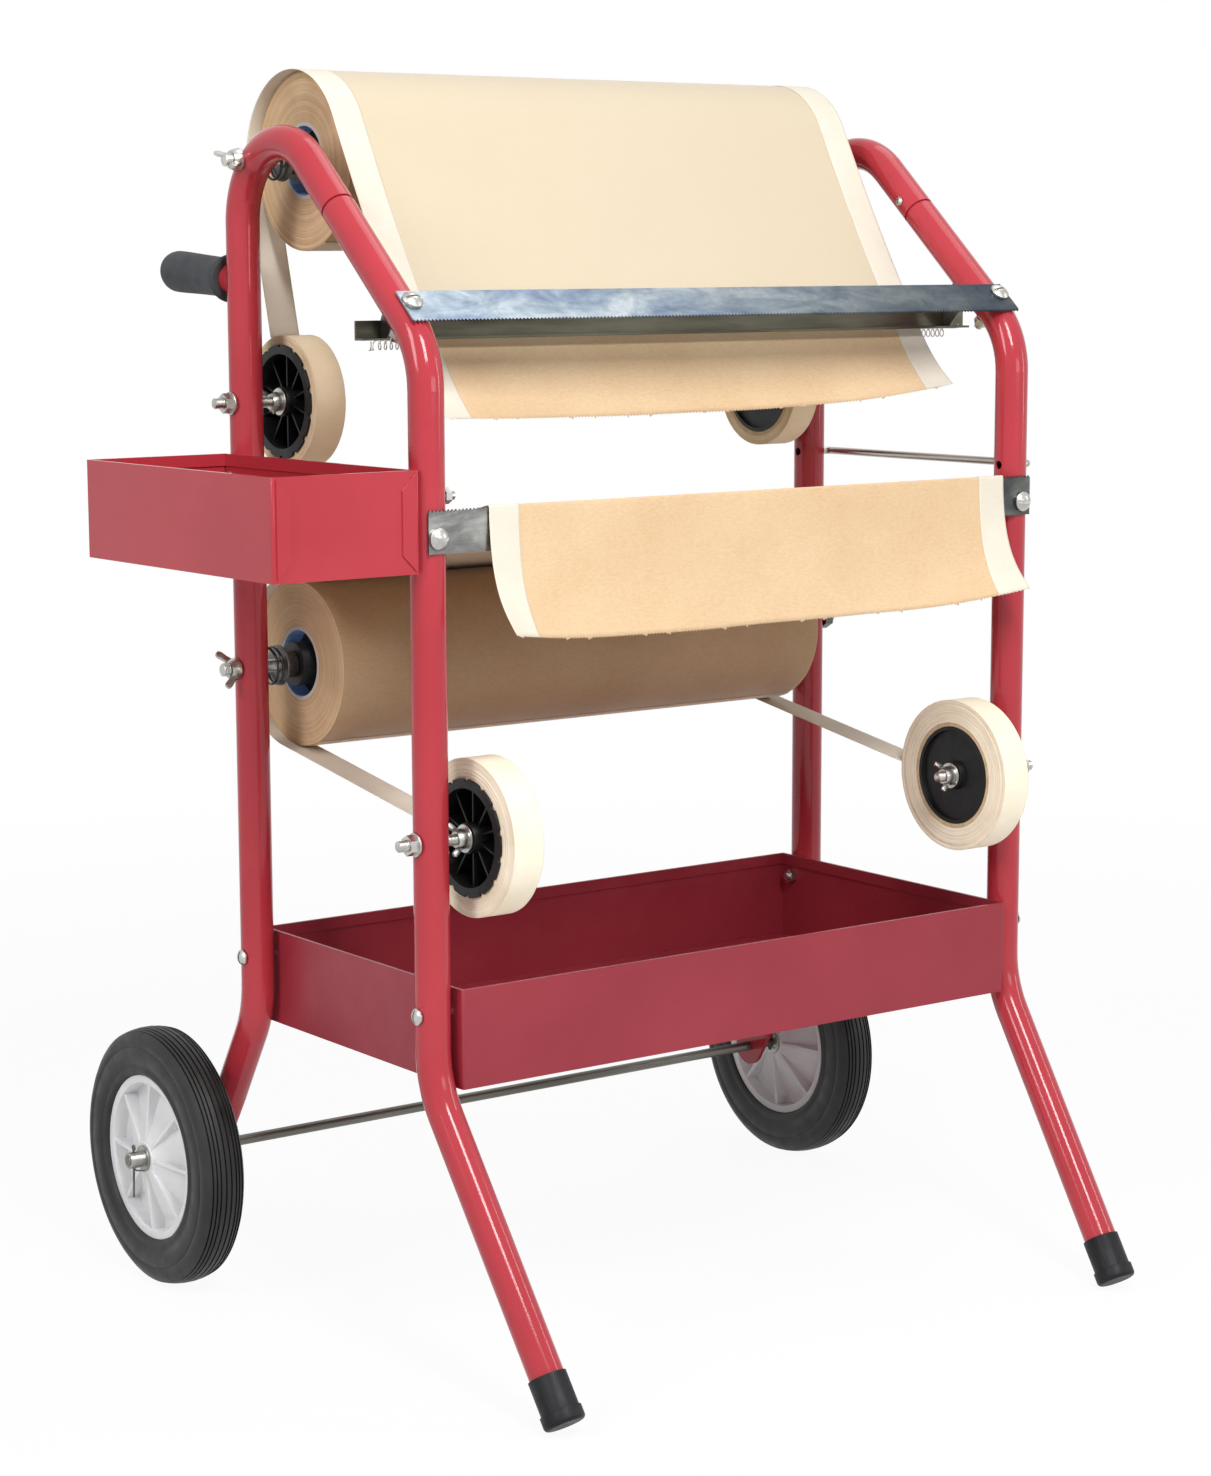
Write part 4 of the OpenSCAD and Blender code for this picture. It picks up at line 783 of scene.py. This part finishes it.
long_spring = tube(tension_spring_path(), SPRING_WIRE / 2, 8)
piece("stretched_spring", *long_spring, "frame", "zinc", ZINC, ["tension_spring"], sharp=60)
drag = [drag_spring(low, high) for low, high in solids("drag_springs")]
piece("drag_spring_pair", *joined(drag), "frame", "dark_steel", BLACK_WIRE, ["drag_springs"], sharp=60)


# Wound rolls

ROLL_STEPS = 128
PAPER_LAYERS, PAPER_RIDGE = 44, 0.2 * MM
TAPE_LAYERS, TAPE_RIDGE = 18, 0.22 * MM
CORE_GAP = 0.1 * MM
# Edge of one layer: share of the ridge that it lies deeper, place across the layer
LAYER_EDGE = ((0.25, 0.02), (0, 0.2), (0, 0.8))
# Share of a layer's tone at its deeper start: painted shade in the gap between layers
GAP_SHADE_SHARE = 0.7
# Rounded outer corner of a roll: in from its end, in from its outside
ROLL_CORNER = ((0.15 * MM, 0.1 * MM), (0.5 * MM, 0))
ROLL_BODY_SHARE, ROLL_BODY_RINGS = 0.98, 9


def wound_roll(name, node, core, body, slot, materials, layers, ridge, seed):
    """Ring of wound layers; each layer's edge stands in or out a little at both ends."""
    rng = random.Random(seed)
    half, outer = half_size(node).x, half_size(node).z
    inner = half_size(core).z + CORE_GAP
    width = (outer - inner) / layers
    rings, tones = [], []
    for i in range(layers):
        step = ridge * rng.random() ** 2
        tone = rng.random()
        r = inner + width * i
        for inset, at in LAYER_EDGE:
            rings.append((-half + step + inset * ridge, r + at * width))
            tones.append(tone if inset == 0 else tone * GAP_SHADE_SHARE)
    rings[-1:] = [(-half + x, outer - r) for x, r in ROLL_CORNER]
    tones.append(1.0)
    reach = half * ROLL_BODY_SHARE
    body_rings = [(x, outer) for x in np.linspace(-reach, reach, ROLL_BODY_RINGS)]
    profile = rings + body_rings + [(-x, r) for x, r in reversed(rings)]
    tones = tones + [1.0] * len(body_rings) + tones[::-1]
    made = lathe(profile, middle(node), ROLL_STEPS)
    obj = piece(name, *made, body, slot, materials, [node], sharp=60)
    layer = obj.data.attributes.new("layer", "FLOAT", "POINT")
    layer.data.foreach_set("value", np.repeat(np.array(tones, np.float32), ROLL_STEPS))
    edge_rings = len(rings) - 1
    for polygon in obj.data.polygons:
        ring = polygon.index // ROLL_STEPS
        outside = edge_rings <= ring < len(profile) - 1 - edge_rings
        polygon.material_index = 0 if outside else 1


for place, seed in (("upper", 3), ("lower", 4)):
    wound_roll(place + "_roll_of_paper", place + "_paper_roll", place + "_roll_core",
               place + "_roll", "kraft_paper", [KRAFT, KRAFT_EDGE], PAPER_LAYERS, PAPER_RIDGE, seed)
for place, seed in zip(TAPE_PLACES, (11, 12, 13, 14)):
    tape_looks = [TAN_TAPE, TAN_EDGE] if place.startswith("upper") else [TAPE, TAPE_EDGE]
    wound_roll(place + "_roll_of_tape", place + "_tape", place + "_tape_core",
               place + "_tape_roll", "tape_paper", tape_looks, TAPE_LAYERS, TAPE_RIDGE, seed)


# Loose paper and tape

TOOTH = 3 * MM
TOOTH_DEPTH = 1.3 * MM
RAG_DEPTH = 1.4 * MM
RAG_FROM = 0.8
RAG_WAVES = (431, 173)
PAPER_LIFT = 0.4 * MM
TAPE_LIFT = 0.75 * MM
PAPER_THICK = 0.12 * MM
TAPE_THICK = 0.16 * MM
PAPER_COLUMNS, TAPE_COLUMNS = 306, 18
WRAP_POINTS, RUN_POINTS, FOLD_POINTS, FLAP_POINTS = 64, 24, 8, 22
WRAP_FROM = math.radians(-115)
FOLD_FROM, FOLD_TO = math.pi / 2 + 0.2, math.radians(175)
# How sharply a flap's sides curl forward, hung straight or folded over an edge
HUNG_FLARE, FOLDED_FLARE = 2.4, 4
# Handles of a folded flap's curve, as shares of its depth and its fall
FLAP_START, FLAP_FINISH = (0.04, 0.6), (0.6, 0.22)
# Ripples across a flap: height, waves and phase; they grow towards the torn end
RIPPLES = ((1.0 * MM, 5.2, 0.6), (0.6 * MM, 13, 2))
RIPPLE_GROWTH = 1.5
RIPPLE_WAY = np.array((1, 0.15))
# Where the paper passes the bar's lower back corner and the blade's teeth: to the back, up
PAST_BAR = (1.4 * MM, 0.5 * MM)
PAST_BLADE = (0.6 * MM, 0.9 * MM)
# Angle at which the tape leaves its roll, its distance there, and how far past its contact it lies flat
PEEL = {"upper": math.radians(72), "lower": math.radians(4)}
PEEL_GAP = 0.5 * MM
CONTACT_TURN = 0.02
# Torn ends in the side view: Y and Z at the left, in the middle and at the right
UPPER_LEFT_END = np.array((-109.4, 675.0)) * MM
UPPER_MID_END = np.array((-85.7, 671.6)) * MM
UPPER_RIGHT_END = np.array((-97.4, 686.0)) * MM
LOWER_LEFT_END = np.array((-178.9, 530.8)) * MM
LOWER_MID_END = np.array((-155.4, 521.4)) * MM
LOWER_RIGHT_END = np.array((-176.3, 533.1)) * MM
PAPER_MID = middle("upper_paper_roll").x
PAPER_HALF = half_size("upper_paper_roll").x
TAPE_EDGE_U = (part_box("upper_right_tape")[1].x - PAPER_MID) / PAPER_HALF


def side_view(p):
    """Y and Z of a point."""
    return np.array((p[1], p[2]))


def over_angle(p, centre, r):
    """Direction of the straight run from p to the upper side of a roll."""
    d = centre - p
    return math.atan2(d[1], d[0]) + math.asin(r / np.hypot(*d))


def under_angle(p, centre, r):
    """Direction of the straight run from p to the lower side of a roll."""
    d = centre - p
    return math.atan2(d[1], d[0]) - math.asin(r / np.hypot(*d))


def arc(centre, r, start, end, count):
    """Points on a circle between two angles."""
    turn = np.linspace(start, end, count)
    return centre + r * np.stack((np.cos(turn), np.sin(turn)), 1)


def bezier(a, b, c, d, count):
    """Points on a cubic curve from a to d, without a itself."""
    t = np.linspace(0, 1, count + 1)[1:, None]
    return a * (1 - t) ** 3 + 3 * b * t * (1 - t) ** 2 + 3 * c * t ** 2 * (1 - t) + d * t ** 3


def flared(u, left, mid, right, power):
    """End of a torn flap: level in the middle, curled forward at the tape's outer edges."""
    side = (left if u < 0 else right) - mid
    return mid + side * (abs(u) / TAPE_EDGE_U) ** power


class Web:
    """Loose paper in the side view: from the back of a roll, over its edge, down to the torn end."""

    def __init__(self, roll, edge, ends, fold, droop, drift):
        self.centre = side_view(middle(roll))
        self.radius = half_size(roll).z + PAPER_LIFT
        self.edge = edge
        self.ends = ends
        self.fold = fold
        self.droop = droop
        self.drift = drift
        self.lead = over_angle(edge, self.centre, self.radius)
        self.wrap = arc(self.centre, self.radius, WRAP_FROM, self.lead + math.pi / 2, WRAP_POINTS)

    def path(self, u):
        """Points from the roll to the torn end; u goes from -1 to 1 across the paper."""
        touch = self.wrap[-1]
        t = np.linspace(0, 1, RUN_POINTS + 1)[1:, None]
        down = np.array((-math.cos(self.lead), -math.sin(self.lead)))
        out = np.array((down[1], -down[0]))
        belly = self.droop * np.sin(math.pi * t) * out
        run = touch * (1 - t) + self.edge * t + belly
        end = flared(u, *self.ends, FOLDED_FLARE if self.fold else HUNG_FLARE)
        if self.fold:
            pivot = self.edge - np.array((0, self.fold))
            turned = arc(pivot, self.fold, FOLD_FROM, FOLD_TO, FOLD_POINTS)
            run = np.concatenate((run[:-1], turned))
            start = run[-1]
            side = end - start
            flap = bezier(start, start + side * FLAP_START, end - side * FLAP_FINISH, end, FLAP_POINTS)
        else:
            start = run[-1]
            bend = start + 0.5 * np.hypot(*(end - start)) * down
            flap = bezier(start, (start + 2 * bend) / 3, (end + 2 * bend) / 3, end, FLAP_POINTS)
        sway = np.linspace(0, 1, FLAP_POINTS)[:, None] ** RIPPLE_GROWTH
        ripple = sum(height * math.sin(waves * u + phase) for height, waves, phase in RIPPLES)
        flap = flap + sway * ripple * RIPPLE_WAY
        return np.concatenate((self.wrap, run, flap))

    def slide(self, count):
        """Share of the sideways drift at each point: none on the roll, all of it from the edge on."""
        share = np.ones(count)
        share[:WRAP_POINTS] = 0
        share[WRAP_POINTS:WRAP_POINTS + RUN_POINTS] = np.linspace(0, 1, RUN_POINTS)
        return share


def lifted(path, lift):
    """The path moved to its outer side by lift."""
    along = np.gradient(path, axis=0)
    along /= np.linalg.norm(along, axis=1)[:, None]
    return path + lift * np.stack((along[:, 1], -along[:, 0]), 1)


def torn(x, seed):
    """Saw teeth and small rags along a torn end."""
    saw = abs((x / TOOTH) % 1 - 0.5) * 2
    rag = math.sin(x * RAG_WAVES[0] + seed) * math.sin(x * RAG_WAVES[1] + 2 * seed)
    return TOOTH_DEPTH * saw + (RAG_DEPTH * rag if rag > RAG_FROM else 0)


def web_skip(web, lead_in):
    """First point of the wrap that lies past the end of the tape's run to the roll."""
    end = lead_in[-1] - web.centre
    start = math.atan2(end[1], end[0])
    turn = [math.atan2(*(p - web.centre)[::-1]) for p in web.wrap]
    return next(i for i, a in enumerate(turn) if a > start + CONTACT_TURN)


def sheet_mesh(web, columns, lift, seed, lead_in=None):
    """Grid of points on the web at each X in columns; lead_in is the run that comes before it."""
    lines = []
    for x in columns:
        path = web.path((x - PAPER_MID) / PAPER_HALF)
        across = x + web.drift * web.slide(len(path))
        if lead_in is not None:
            skip = web_skip(web, lead_in)
            path = np.concatenate((lead_in, path[skip:]))
            across = np.concatenate((np.full(len(lead_in), x), across[skip:]))
        path = lifted(path, lift)
        last = path[-1] - path[-2]
        path[-1] = path[-1] + last / np.hypot(*last) * torn(x, seed)
        lines.append([(a, y, z) for a, (y, z) in zip(across, path)])
    points = [point for row in zip(*lines) for point in row]
    return points, grid_faces(len(lines[0]), len(lines))


def thin(obj, thickness):
    """Gives a sheet its thickness, half to each side."""
    shell = obj.modifiers.new("thickness", "SOLIDIFY")
    shell.thickness = thickness
    shell.offset = 0


def path_length(path):
    return float(np.linalg.norm(np.diff(path, axis=0), axis=1).sum())


bar_low, bar_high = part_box("tension_bar")
blade_low, blade_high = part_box("lower_blade")
bar_edge = np.array((bar_high.y + PAST_BAR[0], bar_low.z + PAST_BAR[1]))
blade_edge = np.array((blade_low.y + PAST_BLADE[0], blade_high.z + PAST_BLADE[1]))
WEBS = {
    "upper": Web("upper_paper_roll", bar_edge, (UPPER_LEFT_END, UPPER_MID_END, UPPER_RIGHT_END),
                 fold=0, droop=-2.5 * MM, drift=0),
    "lower": Web("lower_paper_roll", blade_edge, (LOWER_LEFT_END, LOWER_MID_END, LOWER_RIGHT_END),
                 fold=1.6 * MM, droop=1.5 * MM, drift=9.5 * MM),
}

paper_columns = np.linspace(PAPER_MID - PAPER_HALF, PAPER_MID + PAPER_HALF, PAPER_COLUMNS)
for level, seed, held, over in (("upper", 1.0, "hung", "tension_bar"),
                                ("lower", 2.0, "draped", "lower_blade")):
    web = WEBS[level]
    made = sheet_mesh(web, paper_columns, 0, seed)
    obj = piece(level + "_loose_paper", *made, "frame", "kraft_paper", KRAFT_WEB,
                [level + "_paper_web"], sharp=60)
    thin(obj, PAPER_THICK)
    path_length(web.path(0))

for place in TAPE_PLACES:
    level = place.split("_")[0]
    web = WEBS[level]
    roll = place + "_tape"
    at, half = middle(roll), half_size(roll)
    peel = np.array((math.cos(PEEL[level]), math.sin(PEEL[level])))
    start = side_view(at) + (half.z + PEEL_GAP) * peel
    lead = under_angle(start, web.centre, web.radius + TAPE_LIFT)
    touch = web.centre + web.radius * np.array((math.sin(lead), -math.cos(lead)))
    run = start + (touch - start) * np.linspace(0, 1, RUN_POINTS)[:, None]
    tape_columns = np.linspace(at.x - half.x, at.x + half.x, TAPE_COLUMNS)
    made = sheet_mesh(web, tape_columns, TAPE_LIFT - PAPER_LIFT, 3.0, run)
    obj = piece(place + "_loose_tape", *made, "frame", "tape_paper", STRIP, [roll + "_strip"], sharp=60)
    thin(obj, TAPE_THICK)
    path = np.concatenate((run, web.path(0)[web_skip(web, run):]))


# Camera at the photograph's angle

PHOTO_LONG = 1476
FOCAL_PX = 3178.9
SHIFT = (0.0523, 0.0236)
CAMERA_AT = Vector((-1.4289, -1.9309, 0.7776))
CAMERA_TURN = math.radians(-35.143)
CAMERA_TILT = math.radians(9.051)
CAMERA_ROLL = math.radians(-0.374)
SENSOR = 36


def make_camera():
    """Camera with the lens, place and turn that were fitted to the photograph."""
    level = math.cos(CAMERA_TILT)
    back = Vector((math.sin(CAMERA_TURN) * level, -math.cos(CAMERA_TURN) * level,
                   math.sin(CAMERA_TILT)))
    right = Vector((0, 0, 1)).cross(back).normalized()
    up = back.cross(right)
    across = right * math.cos(CAMERA_ROLL) + up * math.sin(CAMERA_ROLL)
    upward = up * math.cos(CAMERA_ROLL) - right * math.sin(CAMERA_ROLL)
    data = bpy.data.cameras.new("camera")
    data.sensor_width = SENSOR
    data.lens = FOCAL_PX * SENSOR / PHOTO_LONG
    data.shift_x, data.shift_y = SHIFT
    camera = bpy.data.objects.new("camera", data)
    turn = Matrix((across, upward, back)).transposed().to_4x4()
    camera.matrix_world = Matrix.Translation(CAMERA_AT) @ turn
    bpy.context.scene.collection.objects.link(camera)
    bpy.context.scene.camera = camera


make_camera()


# Floor, world and lamps

FLOOR_HALF = 30
FLOOR_GREY = 0.9
# The floor's white share: far away and at the object, and how the nearness falls off
WHITE_FAR, WHITE_NEAR = 1.0, 0.94
NEAR_SCALE, NEAR_FULL = 0.42, 0.55
WORLD_LIGHT = 0.23
PLAIN_WHITE = (1, 1, 1, 1)


def seen_directly(nodes, links):
    """1 where the camera, a reflection or a clear material looks, else 0."""
    path = nodes.new("ShaderNodeLightPath")
    seen = path.outputs["Is Camera Ray"]
    for ray in ("Is Glossy Ray", "Is Transmission Ray"):
        either = nodes.new("ShaderNodeMath")
        either.operation = "MAXIMUM"
        links.new(seen, either.inputs[0])
        links.new(path.outputs[ray], either.inputs[1])
        seen = either.outputs[0]
    return seen


def make_floor():
    """White floor with a light shadow near the object that fades to plain white far away."""
    corners = [(x * FLOOR_HALF, y * FLOOR_HALF, 0) for x, y in ((-1, -1), (1, -1), (1, 1), (-1, 1))]
    mesh = bpy.data.meshes.new("floor")
    mesh.from_pydata(corners, [], [(0, 1, 2, 3)])
    look = Look("floor", Roughness=0.9, Specular_IOR_Level=0.1)
    look.shader.inputs["Base Color"].default_value = (FLOOR_GREY, FLOOR_GREY, FLOOR_GREY, 1)
    near = look.node("ShaderNodeTexGradient", gradient_type="SPHERICAL")
    look.links.new(look.stretched((NEAR_SCALE, NEAR_SCALE, NEAR_SCALE)), near.inputs["Vector"])
    white = look.node("ShaderNodeEmission")
    white.inputs["Color"].default_value = PLAIN_WHITE
    far = look.level(near.outputs["Fac"], WHITE_FAR, WHITE_NEAR, 0.0, NEAR_FULL)
    share = look.node("ShaderNodeMath", operation="MULTIPLY")
    look.links.new(seen_directly(look.nodes, look.links), share.inputs[0])
    look.links.new(far, share.inputs[1])
    blend = look.node("ShaderNodeMixShader")
    look.links.new(share.outputs[0], blend.inputs["Fac"])
    look.links.new(look.shader.outputs[0], blend.inputs[1])
    look.links.new(white.outputs[0], blend.inputs[2])
    look.links.new(blend.outputs[0], look.nodes["Material Output"].inputs["Surface"])
    mesh.materials.append(look.material)
    floor = bpy.data.objects.new("floor", mesh)
    bpy.context.scene.collection.objects.link(floor)


def make_world():
    """Even pale surroundings; white where the camera or a reflection looks past the floor."""
    world = bpy.data.worlds.new("world")
    bpy.context.scene.world = world
    world.use_nodes = True
    nodes, links = world.node_tree.nodes, world.node_tree.links
    light, white = nodes["Background"], nodes.new("ShaderNodeBackground")
    for background, strength in ((light, WORLD_LIGHT), (white, 1.0)):
        background.inputs["Color"].default_value = PLAIN_WHITE
        background.inputs["Strength"].default_value = strength
    blend = nodes.new("ShaderNodeMixShader")
    links.new(seen_directly(nodes, links), blend.inputs["Fac"])
    links.new(light.outputs[0], blend.inputs[1])
    links.new(white.outputs[0], blend.inputs[2])
    links.new(blend.outputs[0], nodes["World Output"].inputs["Surface"])


def lamp(name, place, aim, size, power):
    """Soft rectangle of light at a place, turned to its aim."""
    data = bpy.data.lights.new(name, "AREA")
    data.shape = "RECTANGLE"
    data.size, data.size_y = size
    data.energy = power
    obj = bpy.data.objects.new(name, data)
    obj.location = place
    obj.rotation_mode = "QUATERNION"
    obj.rotation_quaternion = (Vector(aim) - Vector(place)).to_track_quat("-Z", "Y")
    bpy.context.scene.collection.objects.link(obj)


make_floor()
make_world()
lamp("key", place=(-0.5, -1.6, 2.0), aim=(0, -0.1, 0.6), size=(0.5, 0.9), power=39)
lamp("front", place=(0.3, -2.3, 0.9), aim=(0, 0, 0.45), size=(0.9, 0.5), power=5)
lamp("left", place=(-2.2, -0.4, 1.75), aim=(0, 0, 0.65), size=(0.6, 1.3), power=27)
lamp("right", place=(2.2, -1.6, 1.2), aim=(0, 0, 0.45), size=(0.3, 1.4), power=10)
lamp("top", place=(0.9, 0.1, 2.8), aim=(0, 0, 0.5), size=(1.4, 1.4), power=12)

scene = bpy.context.scene
scene.view_settings.view_transform = "Standard"
